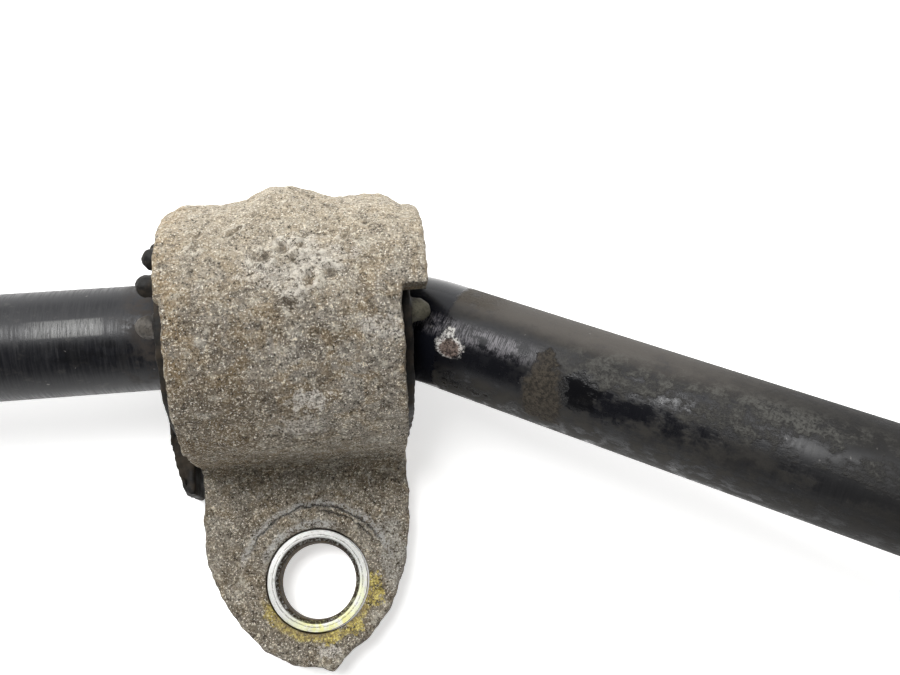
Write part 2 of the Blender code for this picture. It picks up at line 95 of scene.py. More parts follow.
DOME_RADIUS = 25.0
CAVITY_RADIUS = 20.4
FRONT_HALF_WIDTH = 21.2
REAR_INBOARD = -22.5
REAR_OUTBOARD = 26.2
EAR_TOP = -17.9
EAR_FILLET = 7.0
TONGUE_REACH = 36.0
BOLT_X, BOLT_Y = 1.2, -49.2
SEAT_RADIUS = 10.6
EAR_OUTLINE = [
    (-21.5, -35), (-20.9, -43), (-18.6, -51), (-14.9, -57), (-10.3, -62), (-4.5, -65.3),
    (1.0, -66.4), (3.4, -67.2), (5.6, -64.6), (11.1, -61), (16.2, -55), (19.6, -46.8), (21.3, -38),
]
# How far the dome stands proud of its radius, along the bar
SWELL_X = [-24, -21.6, -19, -12, -9, -7, -5, -2, 2, 5.6, 7.5, 10, 19, 20.8, 23, 25.6, 27]
SWELL = [-2.6, -1.6, 0.1, 0.1, 0.7, 1.1, 2.0, 3.4, 3.4, 2.5, 1.6, 0.7, 0.7, -0.1, -1.7, -2.1, -3.6]
# Pits in the casting: place along the bar, degrees rearwards from the crest, radius, depth
PITS = [
    (4.4, 5, 1.4, 0.5), (1.5, -5, 1.0, 0.5), (0.8, 20, 1.3, 0.45), (3.8, 20, 1.1, 0.4),
    (-2.9, 14, 1.2, 0.4), (8.7, 6, 1.2, 0.35), (1.8, -9, 0.8, 0.5), (3.1, 13, 0.9, 0.45),
    (-15.5, 22, 0.9, 0.35), (11.5, 24, 0.9, 0.3), (-8.0, 30, 1.0, 0.35), (6.5, 14, 0.8, 0.45),
]


# Camera in the bracket's frame; lights and floor in metres
CAMERA_FROM_BRACKET = np.array([11.86, -52.05, 187.6])
CAMERA_LENS = 38.4
SENSOR_WIDTH = 36
FLOOR_HALF_SIZE = 60.0
FLOOR_GLOW = 0.55
CEILING_LEVEL, WALL_LEVEL, HORIZON_LEVEL = 0.16, 1.75, 0.85
SOFT_BOX_DIRECTION = Vector((-0.25, 0.20, 0.94)).normalized()
SOFT_BOX_DISTANCE = 1.1
SOFT_BOX_SIZE, SOFT_BOX_WATTS = (0.40, 0.44), 10
FILL_OFFSET = Vector((-0.9, 0.9, 1.1))
FILL_SIZE, FILL_WATTS = (1.2, 1.2), 9


def pivot(joint):
    return np.array(JOINTS[joint]["pos_m"]) / MM


BRACKET = pivot("bracket_turn_right")
LOWER_BALL = pivot("link_swing_right")
UPPER_BALL = pivot("upper_stud_spin_right")


# ---------------------------------------------------------------- shape helpers


def linked(name, data):
    made = bpy.data.objects.new(name, data)
    bpy.context.scene.collection.objects.link(made)
    return made


def ring_about_x(mesh, x, radius, sides):
    """A ring of points about X, or one point where the radius is nothing."""
    if radius < 1e-6:
        return [mesh.verts.new((x, 0, 0))]
    angles = [2 * math.pi * k / sides for k in range(sides)]
    return [mesh.verts.new((x, radius * math.cos(a), radius * math.sin(a))) for a in angles]


def skinned(mesh, pairs):
    """Faces between each pair of rings; either ring may be a single point."""
    for first, second in pairs:
        sides = max(len(first), len(second))
        if sides == 1:
            continue
        for i in range(sides):
            j = (i + 1) % sides
            if len(first) == 1:
                mesh.faces.new((first[0], second[i], second[j]))
            elif len(second) == 1:
                mesh.faces.new((second[0], first[i], first[j]))
            else:
                mesh.faces.new((first[i], first[j], second[j], second[i]))
    bmesh.ops.recalc_face_normals(mesh, faces=mesh.faces)
    return mesh


def lathe(profile, sides=72):
    """Solid of revolution about X from a closed run of (x, radius) points."""
    mesh = bmesh.new()
    rings = [ring_about_x(mesh, x, radius, sides) for x, radius in profile]
    pairs = list(zip(rings, rings[1:]))
    if len(rings[0]) > 1 and len(rings[-1]) > 1:
        pairs.append((rings[-1], rings[0]))
    return skinned(mesh, pairs)


def rounded(profile, radius, steps=4):
    """The (x, radius) run with each corner off the axis turned into a small arc."""
    points = [np.array(p, float) for p in profile]
    count = len(points)
    on_axis = points[0][1] < 1e-6
    found = []
    for k, here in enumerate(points):
        if on_axis and k in (0, count - 1):
            found.append(tuple(here))
            continue
        before, after = points[k - 1] - here, points[(k + 1) % count] - here
        near = min(np.linalg.norm(before), np.linalg.norm(after)) * 0.45
        inset = min(radius, near)
        a = here + inset * before / np.linalg.norm(before)
        b = here + inset * after / np.linalg.norm(after)
        for step in range(steps + 1):
            t = step / steps
            found.append(tuple((1 - t) ** 2 * a + 2 * t * (1 - t) * here + t * t * b))
    return found


def prism(outline, low, high, axis):
    """A flat outline pushed from low to high: (y, z) points along X, or (x, y) points along Z."""
    mesh = bmesh.new()
    rings = [
        [mesh.verts.new((height, a, b) if axis == "X" else (a, b, height)) for a, b in outline]
        for height in (low, high)
    ]
    count = len(outline)
    for i in range(count):
        j = (i + 1) % count
        mesh.faces.new((rings[0][i], rings[0][j], rings[1][j], rings[1][i]))
    for ring in rings:
        mesh.faces.new(ring)
    bmesh.ops.recalc_face_normals(mesh, faces=mesh.faces)
    return mesh


def arc(centre, radius, start, end, steps):
    angles = [math.radians(start + (end - start) * k / steps) for k in range(steps + 1)]
    return [(centre[0] + radius * math.cos(a), centre[1] + radius * math.sin(a)) for a in angles]


def moved(mesh, matrix):
    bmesh.ops.transform(mesh, matrix=matrix, verts=mesh.verts)
    return mesh


def evaluated(base, modifiers):
    """Points and faces of a mesh after (kind, settings) modifiers; a Boolean's cutter is a mesh."""
    work = []

    def as_object(mesh):
        data = bpy.data.meshes.new("work")
        mesh.to_mesh(data)
        mesh.free()
        made = linked("work", data)
        work.append(made)
        return made

    body = as_object(base)
    for kind, settings in modifiers:
        modifier = body.modifiers.new(kind, kind)
        for key, value in settings.items():
            setattr(modifier, key, as_object(value) if key == "object" else value)
    bpy.context.view_layer.update()
    result = body.evaluated_get(bpy.context.evaluated_depsgraph_get()).to_mesh()
    points = np.zeros(len(result.vertices) * 3)
    result.vertices.foreach_get("co", points)
    faces = [tuple(polygon.vertices) for polygon in result.polygons]
    for made in work:
        bpy.data.meshes.remove(made.data)
    return points.reshape(-1, 3), faces


def as_bmesh(points, faces):
    mesh = bmesh.new()
    verts = [mesh.verts.new(p) for p in points]
    for face in faces:
        mesh.faces.new([verts[i] for i in face])
    return mesh


def boolean(operation, cutter):
    return "BOOLEAN", {"operation": operation, "solver": "EXACT", "object": cutter}


def combined(base, steps):
    return as_bmesh(*evaluated(base, [boolean(*step) for step in steps]))


def joined(meshes):
    """Several closed meshes in one, still overlapping; a voxel remesh then fuses them."""
    whole = meshes[0]
    for other in meshes[1:]:
        data = bpy.data.meshes.new("work")
        other.to_mesh(data)
        whole.from_mesh(data)
        bpy.data.meshes.remove(data)
    return whole


def remeshed(mesh, voxel):
    return evaluated(mesh, [("REMESH", {"mode": "VOXEL", "voxel_size": voxel})])


def edges_of(faces):
    pairs = {tuple(sorted(pair)) for face in faces for pair in zip(face, face[1:] + face[:1])}
    return np.array(sorted(pairs))


def relaxed(points, faces, steps, strength=0.5):
    """Each point drawn towards the mean of its neighbours, which rounds off the edges."""
    edges = edges_of(faces)
    count = np.bincount(edges.ravel(), minlength=len(points))[:, None]
    for _ in range(steps):
        total = np.zeros_like(points)
        for axis in range(3):
            total[:, axis] = np.bincount(edges[:, 0], points[edges[:, 1], axis], len(points))
            total[:, axis] += np.bincount(edges[:, 1], points[edges[:, 0], axis], len(points))
        points = points + strength * (total / np.maximum(count, 1) - points)
    return points


def normals_of(points, faces):
    quads = np.array([face if len(face) == 4 else face + face[-1:] for face in faces])
    crossed = np.cross(points[quads[:, 2]] - points[quads[:, 0]], points[quads[:, 3]] - points[quads[:, 1]])
    total = np.zeros_like(points)
    for corner in range(4):
        for axis in range(3):
            total[:, axis] += np.bincount(quads[:, corner], crossed[:, axis], len(points))
    return total / np.maximum(np.linalg.norm(total, axis=1), 1e-9)[:, None]


def waviness(points, size, seed):
    """Smooth random values from about -1 to 1 over space, with bumps about size apart."""
    random = np.random.default_rng(seed)
    total = np.zeros(len(points))
    for _ in range(3):
        turn = np.linalg.qr(random.normal(size=(3, 3)))[0]
        lattice = random.uniform(-1, 1, (LATTICE, LATTICE, LATTICE))
        turned = points @ turn.T / size
        cell = np.floor(turned).astype(int)
        part = turned - cell
        part = part * part * (3 - 2 * part)
        for corner in itertools.product((0, 1), repeat=3):
            index = (cell + corner) % LATTICE
            weight = np.prod(np.where(corner, part, 1 - part), axis=1)
            total += weight * lattice[index[:, 0], index[:, 1], index[:, 2]]
    return total / 1.6


def tube(path, radius, sides):
    """A closed round wire along a path of points."""
    path = np.array(path, float)
    mesh = bmesh.new()
    rings = []
    tangents = np.gradient(path, axis=0)
    for place, tangent in zip(path, tangents):
        tangent = tangent / np.linalg.norm(tangent)
        first = np.cross(tangent, (1, 0, 0))
        first /= np.linalg.norm(first)
        second = np.cross(tangent, first)
        ring = []
        for k in range(sides):
            angle = 2 * math.pi * k / sides
            ring.append(mesh.verts.new(place + radius * (first * math.cos(angle) + second * math.sin(angle))))
        rings.append(ring)
    mesh.faces.new(rings[0])
    mesh.faces.new(rings[-1])
    return skinned(mesh, zip(rings, rings[1:]))


def plain(mesh):
    """Points and faces of a bmesh."""
    mesh.verts.index_update()
    points = np.array([vertex.co for vertex in mesh.verts], float)
    faces = [tuple(vertex.index for vertex in face.verts) for face in mesh.faces]
    mesh.free()
    return points, faces


def piece(name, shape, finish, origin, side=1, sharp=None, extra=None):
    """An object from right-hand points in millimetres about origin; side -1 is the mirror image.

    A shape may carry a third item, a value for each point, which its material reads as "hollow" (grime and
    painted shade, or a painted highlight where below zero).
    """
    points, faces, *grime_and_painted_light = shape
    placed = (points + origin) * MM
    if side < 0:
        placed = placed * (-1, 1, 1)
        faces = [face[::-1] for face in faces]
    data = bpy.data.meshes.new(name)
    data.from_pydata(placed.tolist(), [], faces)
    data.validate()
    data.shade_smooth()
    if sharp:
        data.set_sharp_from_angle(angle=math.radians(sharp))
    attribute = data.attributes.new("design", "FLOAT_VECTOR", "POINT")
    attribute.data.foreach_set("vector", (points if extra is None else extra).astype(np.float32).ravel())
    if grime_and_painted_light:
        data.attributes.new("grime_and_painted_light", "FLOAT", "POINT").data.foreach_set("value",
                                                                         grime_and_painted_light[0].astype(np.float32))
    data.materials.append(finish)
    return linked(name, data)


def settle(made, body, slot, *nodes):
    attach(made, body)
    if nodes:
        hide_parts(*nodes)


# ---------------------------------------------------------------- material helpers


def grey(level):
    return level, level, level


class Finish:
    """A Principled material put together from patterns; all coordinates are in millimetres."""

    def __init__(self, name, **fixed):
        self.material = bpy.data.materials.new(name)
        self.material.use_nodes = True
        self.tree = self.material.node_tree
        self.shader = self.tree.nodes["Principled BSDF"]
        for socket, value in fixed.items():
            self.shader.inputs[socket.replace("_", " ")].default_value = value
        coordinates = self.add("ShaderNodeTexCoord").outputs["Object"]
        self.place = self.scaled(coordinates, (1000, 1000, 1000))
        self.design = self.add("ShaderNodeAttribute", attribute_name="design").outputs["Vector"]

    def add(self, kind, **settings):
        node = self.tree.nodes.new(kind)
        for key, value in settings.items():
            setattr(node, key, value)
        return node

    def put(self, socket, value):
        if isinstance(value, bpy.types.NodeSocket):
            self.tree.links.new(value, socket)
        elif isinstance(value, (tuple, list)) and len(value) == 3 and socket.type == "RGBA":
            socket.default_value = (*value, 1)
        else:
            socket.default_value = value

    def math(self, operation, a, b=0.0, clamp=False):
        node = self.add("ShaderNodeMath", operation=operation, use_clamp=clamp)
        self.put(node.inputs[0], a)
        self.put(node.inputs[1], b)
        return node.outputs[0]

    def scaled(self, vector, factors):
        node = self.add("ShaderNodeVectorMath", operation="MULTIPLY")
        self.put(node.inputs[0], vector)
        node.inputs[1].default_value = factors
        return node.outputs[0]

    def taken(self, vector, offset):
        node = self.add("ShaderNodeVectorMath", operation="SUBTRACT")
        self.put(node.inputs[0], vector)
        node.inputs[1].default_value = offset
        return node.outputs[0]

    def length(self, vector):
        node = self.add("ShaderNodeVectorMath", operation="LENGTH")
        self.put(node.inputs[0], vector)
        return node.outputs["Value"]

    def away(self, value, centre):
        """How far the value is from centre."""
        return self.math("ABSOLUTE", self.math("SUBTRACT", value, centre))

    def swayed(self, value, noise, reach):
        """The value pushed up or down by a noise that is about 0.5."""
        return self.math("ADD", value, self.math("MULTIPLY", self.math("SUBTRACT", noise, 0.5), reach))

    def parts(self, vector):
        node = self.add("ShaderNodeSeparateXYZ")
        self.put(node.inputs[0], vector)
        return node.outputs

    def noise(self, size, detail=2.0, roughness=0.5, where=None, distortion=0.0):
        """Noise about 0.5, with blobs about size millimetres across."""
        node = self.add("ShaderNodeTexNoise")
        self.put(node.inputs["Vector"], self.place if where is None else where)
        node.inputs["Scale"].default_value = 1 / size
        node.inputs["Detail"].default_value = detail
        node.inputs["Roughness"].default_value = roughness
        node.inputs["Distortion"].default_value = distortion
        return node.outputs["Fac"]

    def fade(self, value, low, high, start=0.0, end=1.0):
        """start up to low, end from high on, and smooth between; low may be above high."""
        node = self.add("ShaderNodeMapRange", interpolation_type="SMOOTHSTEP")
        if low > high:
            low, high, start, end = high, low, end, start
        self.put(node.inputs["Value"], value)
        node.inputs["From Min"].default_value = low
        node.inputs["From Max"].default_value = high
        node.inputs["To Min"].default_value = start
        node.inputs["To Max"].default_value = end
        return node.outputs["Result"]

    def mix(self, factor, a, b):
        node = self.add("ShaderNodeMix", data_type="RGBA")
        self.put(node.inputs[0], factor)
        self.put(node.inputs[6], a)
        self.put(node.inputs[7], b)
        return node.outputs[2]

    def laid(self, under, over, *cover):
        """One colour over another, as strongly as all the cover factors multiplied."""
        return self.mix(self.times(*cover), under, over)

    def spot(self, centre, radius, stretch=(1, 1, 1), ragged=0.0, grain=None):
        """1 inside a ball round centre in the piece's own frame, fading out past radius."""
        value = self.length(self.scaled(self.taken(self.design, centre), tuple(1 / s for s in stretch)))
        if ragged:
            value = self.swayed(value, grain if grain is not None else self.noise(radius * 0.5, 3), ragged)
        return self.fade(value, radius * 1.12, radius * 0.82)

    def times(self, *values):
        total = values[0]
        for value in values[1:]:
            total = self.math("MULTIPLY", total, value)
        return total

    def most(self, *values):
        total = values[0]
        for value in values[1:]:
            total = self.math("MAXIMUM", total, value)
        return total

    def bump(self, height, depth, before=None):
        """A normal from a height map; depth is the relief in millimetres from 0 to 1."""
        node = self.add("ShaderNodeBump")
        node.inputs["Distance"].default_value = depth * MM
        self.put(node.inputs["Height"], height)
        if before is not None:
            self.put(node.inputs["Normal"], before)
        return node.outputs["Normal"]

    def finish(self, **sockets):
        for socket, value in sockets.items():
            self.put(self.shader.inputs[socket.replace("_", " ")], value)
        return self.material


def cast_finish():
    """Corroded sand-cast aluminium: salt-and-pepper grain over cream, tan and grey blotches."""
    f = Finish("cast_aluminium_worn", Metallic=0.06)
    x, y, z = f.parts(f.design)
    grime_and_painted_light = f.add("ShaderNodeAttribute", attribute_name="grime_and_painted_light").outputs["Fac"]
    coarse = f.noise(1.0, 5, 0.82)
    fine = f.noise(0.42, 4, 0.80)
    speck = f.noise(0.38, 2, 0.6)
    mid = f.noise(2.6, 5, 0.68)
    blotch = f.noise(8, 5, 0.66)
    warm = f.noise(5, 5, 0.62, distortion=0.8)
    body = f.mix(f.fade(warm, 0.42, 0.62), (0.300, 0.268, 0.224), (0.290, 0.218, 0.132))
    body = f.laid(body, (0.140, 0.106, 0.069), f.fade(blotch, 0.54, 0.38, 0, 0.68))
    rear = f.fade(f.swayed(y, blotch, 16), -8, 18)
    body = f.laid(body, (0.60, 0.515, 0.385), rear, 0.60)
    tip = f.times(f.fade(y, -50, -60), 0.45)
    body = f.laid(body, (0.150, 0.125, 0.092), tip)
    low = f.fade(f.swayed(y, mid, 9), -17, -25)
    body = f.laid(body, (0.245, 0.208, 0.155), low, 0.50)
    edge = f.times(f.fade(x, -15, -20.5), f.fade(y, -24, -6), f.fade(mid, 0.40, 0.62))
    body = f.laid(body, (0.36, 0.235, 0.095), edge, 0.65)
    brown = f.times(f.fade(x, 2, -14), f.fade(y, -8, -18), f.fade(z, -17.5, -12),
                    f.fade(blotch, 0.36, 0.55))
    body = f.laid(body, (0.175, 0.118, 0.056), brown, 0.80)
    body = f.laid(body, (0.088, 0.068, 0.045), f.fade(mid, 0.48, 0.34, 0, 0.62))
    body = f.laid(body, (0.66, 0.62, 0.52), f.fade(mid, 0.54, 0.68, 0, 0.55))
    grain = f.math("ADD", f.math("MULTIPLY", coarse, 0.40), f.math("MULTIPLY", fine, 0.60))
    clump = f.noise(1.9, 3, 0.6)
    dark = f.times(f.fade(grain, 0.470, 0.425), f.fade(clump, 0.66, 0.42, 0.25, 0.98))
    light = f.times(f.fade(grain, 0.535, 0.575), f.fade(clump, 0.36, 0.60, 0.30, 0.98))
    colour = f.mix(dark, body, (0.018, 0.013, 0.008))
    colour = f.laid(colour, (0.90, 0.82, 0.655), light)
    colour = f.laid(colour, (1.0, 0.96, 0.85), f.fade(speck, 0.62, 0.66), 0.90)
    colour = f.laid(colour, (0.010, 0.007, 0.005), f.fade(speck, 0.36, 0.32), 0.92)
    # grime and painted shade in pits and on side faces, painted highlight on raised lumps
    colour = f.laid(colour, (0.060, 0.046, 0.031), f.fade(grime_and_painted_light, 0.16, 0.62), f.fade(coarse, 0.40, 0.52),
                    0.62)
    colour = f.laid(colour, (0.80, 0.75, 0.64), f.fade(grime_and_painted_light, -0.12, -0.32), f.fade(coarse, 0.46, 0.53),
                    0.55)
    patches = [
        ((2.8, -63.3, EAR_TOP), 1.7, 0.9), ((3.5, -18.3, 17.0), 2.5, 1.0), ((0.8, -22.5, 12.5), 3.0, 0.5),
        ((-1.0, 3.3, 26.8), 4.6, 0.5), ((7.2, 6.7, 26.2), 4.4, 0.55), ((17.2, -7.3, 23.9), 2.8, 0.6),
        ((2.5, 0.0, 27.0), 3.0, 0.5), ((3.0, 9.5, 26.0), 3.4, 0.5),
    ]
    white = f.most(*(f.times(f.spot(c, r, (1.45, 0.75, 1), ragged=r * 2.6), w) for c, r, w in patches))
    colour = f.laid(colour, (0.84, 0.80, 0.735), white, f.fade(grain, 0.43, 0.54), 0.74)
    # marks round the bolt hole
    from_bolt = f.taken(f.design, (BOLT_X, BOLT_Y, 0))
    bolt_x, bolt_y, _ = f.parts(from_bolt)
    radius = f.length(f.scaled(from_bolt, (1, 1, 0)))
    ring = f.swayed(radius, mid, 2.6)
    on_ear = f.fade(z, -15.0, -16.8)
    crusty = f.fade(grain, 0.45, 0.53)

    def near_ring(at, spread):
        return f.fade(f.away(ring, at), spread, spread * 0.15)

    arc_mark = f.times(near_ring(15.7, 1.25), f.fade(bolt_y, 2, 8), on_ear)
    scuff = f.times(near_ring(11.6, 1.3), f.fade(bolt_y, 2, 8), f.fade(bolt_x, 7, 1), on_ear)
    colour = f.laid(colour, (0.56, 0.56, 0.55), arc_mark, crusty, 0.72)
    colour = f.laid(colour, (0.66, 0.66, 0.64), scuff, crusty, 0.85)
    edge_scuff = f.times(f.spot((16.8, -44.5, EAR_TOP), 4.2, (0.7, 1.7, 1), ragged=7), crusty, on_ear)
    colour = f.laid(colour, (0.56, 0.56, 0.53), edge_scuff, 0.45)
    lines = f.most(near_ring(15.2, 0.42), f.times(near_ring(14.1, 0.34), f.fade(bolt_x, -2, 3)))
    groove = f.times(lines, f.fade(bolt_y, 5, 10), f.fade(fine, 0.38, 0.50), on_ear)
    colour = f.laid(colour, (0.014, 0.013, 0.012), groove, 0.94)
    # yellow passivation that has run off the sleeve
    band = f.times(near_ring(11.5, 1.1), f.fade(bolt_y, -2, -6), on_ear)
    spots = [((-8.0, -55.0, EAR_TOP), 2.0), ((3.6, -60.4, EAR_TOP), 1.9), ((8.0, -58.9, EAR_TOP), 1.7),
             ((12.4, -53.4, EAR_TOP), 2.1), ((12.6, -50.2, EAR_TOP), 1.5)]
    yellow = f.most(f.times(band, 0.8), *(f.spot(c, r, ragged=r * 2.2) for c, r in spots))
    colour = f.laid(colour, (0.66, 0.50, 0.075), yellow, f.fade(grain, 0.42, 0.54), 0.75)
    colour = f.laid(colour, (0.95, 0.89, 0.33), yellow, f.fade(grain, 0.52, 0.58), 0.85)
    halo = f.times(f.fade(radius, 13.4, 10.9), f.fade(bolt_y, 1, -5), on_ear, f.fade(mid, 0.4, 0.6))
    colour = f.laid(colour, (0.26, 0.175, 0.055), halo, 0.35)
    relief = f.bump(mid, 0.45)
    relief = f.bump(coarse, 0.62, relief)
    relief = f.bump(fine, 0.20, relief)
    return f.finish(Base_Color=colour, Roughness=f.fade(grain, 0.35, 0.7, 0.92, 0.66), Normal=relief)


def paint_finish():
    """Black paint on the bar: satin and scuffed inboard, glossy, chipped and dusty outboard.

    The design coordinates run along the bar: distance outboard from the bracket, then across.
    The left half mirrors the right, without its chip, the two patches past it, and the painted reflection and
    painted dark reflection on its inboard crest.
    """
    f = Finish("bar_paint_worn", Specular_IOR_Level=0.30)
    along, rear, up = f.parts(f.design)
    front = f.math("MULTIPLY", rear, -1.0)
    right = f.fade(f.parts(f.place)[0], -2, 2)
    rings = f.noise(1.0, 3, 0.7, f.scaled(f.design, (2.6, 0.16, 0.16)))
    hairs = f.noise(1.0, 3, 0.7, f.scaled(f.design, (5.5, 0.5, 0.5)))
    mottle = f.noise(2.6, 6, 0.70, f.scaled(f.design, (0.8, 1, 1)))
    cloud = f.noise(10, 5, 0.62, f.scaled(f.design, (0.6, 1, 1)))
    drift = f.noise(7, 5, 0.65, f.scaled(f.design, (0.35, 1.1, 1.1)))
    grain = f.noise(0.6, 4, 0.75, f.design)
    outboard = f.fade(along, 19, 22)
    # inboard: satin, with scuffs running round the bar
    colour = f.mix(f.fade(rings, 0.38, 0.70), (0.0075, 0.0078, 0.0100), (0.0185, 0.0185, 0.0205))
    colour = f.laid(colour, (0.040, 0.038, 0.036), f.fade(mottle, 0.55, 0.70), 0.6)
    rough = f.mix(f.fade(rings, 0.36, 0.68), grey(0.30), grey(0.50))
    smudge = f.times(f.fade(along, -33, -27), f.fade(up, 2, 6), f.fade(mottle, 0.42, 0.60),
                     f.math("SUBTRACT", 1.0, outboard))
    colour = f.laid(colour, (0.046, 0.038, 0.032), smudge, 0.80)
    rough = f.laid(rough, grey(0.85), smudge, 0.95)
    # painted reflection: a light streak along the crest inboard of the right bracket
    bright = f.times(0.8, right, f.fade(along, -50, -44), f.fade(along, -34, -34.8),
                     f.fade(f.math("ABSOLUTE", rear), 1.9, 1.4),
                     f.fade(hairs, 0.36, 0.52))
    colour = f.laid(colour, (0.26, 0.26, 0.25), bright, 0.50)
    # painted dark reflection: a darker band on the front just below the crest, inboard of the right bracket
    painted_dark_reflection = f.times(right, f.fade(f.away(front, 4.5), 3.0, 1.2), f.fade(along, -50, -42),
                   f.fade(along, -26, -31), f.fade(mottle, 0.42, 0.56))
    colour = f.laid(colour, (0.0035, 0.0035, 0.0045), painted_dark_reflection, 0.75)
    # outboard: a clean glossy collar that ends in a sharp line, then dust
    clean = f.times(outboard, f.fade(along, 35.5, 34.2))
    colour = f.laid(colour, (0.0050, 0.0056, 0.0085), clean)
    rough = f.laid(rough, f.mix(f.fade(hairs, 0.35, 0.7), grey(0.15), grey(0.26)), clean)
    ragged_along = f.swayed(along, mottle, 3.0)
    past = f.fade(ragged_along, 34.0, 34.9)
    gloss = f.times(past, f.fade(along, 130, 60))
    colour = f.laid(colour, (0.0038, 0.0040, 0.0058), gloss)
    rough = f.laid(rough, f.mix(f.fade(mottle, 0.4, 0.62), grey(0.20), grey(0.36)), gloss)
    far = f.times(past, f.fade(along, 80, 125))
    colour = f.laid(colour, (0.0062, 0.0060, 0.0062), far)
    rough = f.laid(rough, grey(0.52), far)
    soil = f.mix(f.fade(mottle, 0.38, 0.62), (0.0085, 0.0072, 0.0060), (0.030, 0.0270, 0.0222))
    soil = f.laid(soil, (0.088, 0.079, 0.069), f.fade(rear, 1, 5), f.fade(along, 110, 60), 0.85)
    soil = f.laid(soil, (0.0060, 0.0054, 0.0050), f.fade(along, 80, 110), 0.6)
    top = f.fade(f.swayed(rear, cloud, 9), 0.5, 3.6)
    top = f.times(top, f.fade(along, 36, 40, 0.85, 1.0))
    ground = f.times(f.fade(along, 44, 66),
                     f.fade(f.math("ADD", f.times(drift, 0.6), f.times(mottle, 0.4)), 0.42, 0.56))
    under = f.times(f.fade(front, 7.4, 9.0), f.fade(mottle, 0.36, 0.56))
    dust = f.times(past, f.most(f.times(top, f.fade(mottle, 0.26, 0.46, 0.45, 1.0)), f.times(ground, 0.85),
                                under))
    colour = f.laid(colour, soil, dust, 0.85)
    rough = f.laid(rough, grey(0.74), dust, 0.95)
    # grey-green crust drifting along the upper side of the leg
    drifted = f.times(f.fade(along, 50, 68), f.fade(along, 128, 104), f.fade(f.away(rear, 0.6), 5.6, 2.4),
                      f.fade(f.math("ADD", f.times(mottle, 0.5), f.times(drift, 0.5)), 0.48, 0.58))
    colour = f.laid(colour, (0.088, 0.087, 0.078), drifted, f.fade(grain, 0.36, 0.58), 0.62)
    crust = f.times(past, f.fade(along, 46, 38), f.fade(rear, 3, 5.5), f.fade(mottle, 0.38, 0.52))
    colour = f.laid(colour, (0.046, 0.037, 0.026), crust, 0.7)
    # a matte crusted patch, and a glossy black one just past it
    angle = math.radians(-46)
    patch = f.spot((56.8, BAR_RADIUS * math.sin(angle), BAR_RADIUS * math.cos(angle)), 4.9,
                   (0.86, 1.30, 1.30),
                   ragged=7.5, grain=mottle)
    patch = f.times(right, f.most(patch, f.times(f.spot((55.6, -3.4, 9.9), 2.5, (0.85, 1.7, 1.7),
                                                        ragged=6.5, grain=mottle), 0.85)))
    colour = f.laid(colour, f.mix(f.fade(grain, 0.38, 0.62), (0.020, 0.0165, 0.0125),
                                  (0.066, 0.055, 0.041)), patch, 0.92)
    rough = f.laid(rough, grey(0.88), patch)
    wet = f.times(right, f.spot((63.0, -4.8, 9.3), 3.5, (1.1, 1.15, 1.15), ragged=5.5, grain=mottle))
    colour = f.laid(colour, (0.0022, 0.0022, 0.0030), wet, 0.9)
    rough = f.laid(rough, grey(0.16), wet, 0.9)
    # lighter scratched streaks on the crest of the bend
    streak = f.times(f.fade(along, 23, 26), f.fade(along, 56, 48),
                     f.fade(f.math("ABSOLUTE", f.math("ADD", rear, 1.6)), 2.6, 0.8))
    streak = f.times(streak, f.fade(hairs, 0.43, 0.56), f.fade(mottle, 0.40, 0.54))
    colour = f.laid(colour, (0.27, 0.255, 0.275), streak, 0.50)
    # the chip: silver granular rim, rusty middle
    chip_angle = math.radians(-26)
    chip_at = (37.0, BAR_RADIUS * math.sin(chip_angle), BAR_RADIUS * math.cos(chip_angle))
    rim = f.noise(1.1, 4, 0.7, f.design)
    chip = f.most(f.spot(chip_at, 2.6, (1.05, 0.85, 0.85), ragged=3.4, grain=rim),
                  f.spot((36.3, chip_at[1] + 2.3, chip_at[2] + 1.0), 1.1, ragged=2.0, grain=rim))
    chip = f.times(right, chip)
    core = f.spot((37.2, chip_at[1] - 0.35, chip_at[2] - 0.2), 2.2, (1.08, 0.85, 0.85), ragged=2.6,
                  grain=grain)
    metal = f.mix(f.fade(grain, 0.40, 0.56), (0.045, 0.040, 0.036), (0.66, 0.64, 0.61))
    rust = f.mix(f.fade(grain, 0.40, 0.62), (0.026, 0.018, 0.015), (0.21, 0.155, 0.13))
    colour = f.laid(colour, f.mix(core, metal, rust), chip)
    rough = f.laid(rough, grey(0.50), chip)
    # small nicks
    nick = f.times(f.fade(f.noise(1.5, 2, 0.5, f.design), 0.74, 0.78), f.fade(grain, 0.4, 0.6))
    colour = f.laid(colour, (0.17, 0.16, 0.15), nick, 0.6)
    relief = f.bump(rings, 0.012)
    relief = f.bump(f.times(f.most(patch, f.times(crust, 0.7), f.times(drifted, 0.4)), grain), 0.40, relief)
    relief = f.bump(f.math("SUBTRACT", 1.0, chip), 0.25, relief)
    relief = f.bump(f.times(chip, grain), 0.35, relief)
    relief = f.bump(f.times(dust, mottle), 0.10, relief)
    return f.finish(Base_Color=colour, Roughness=rough, Normal=relief)


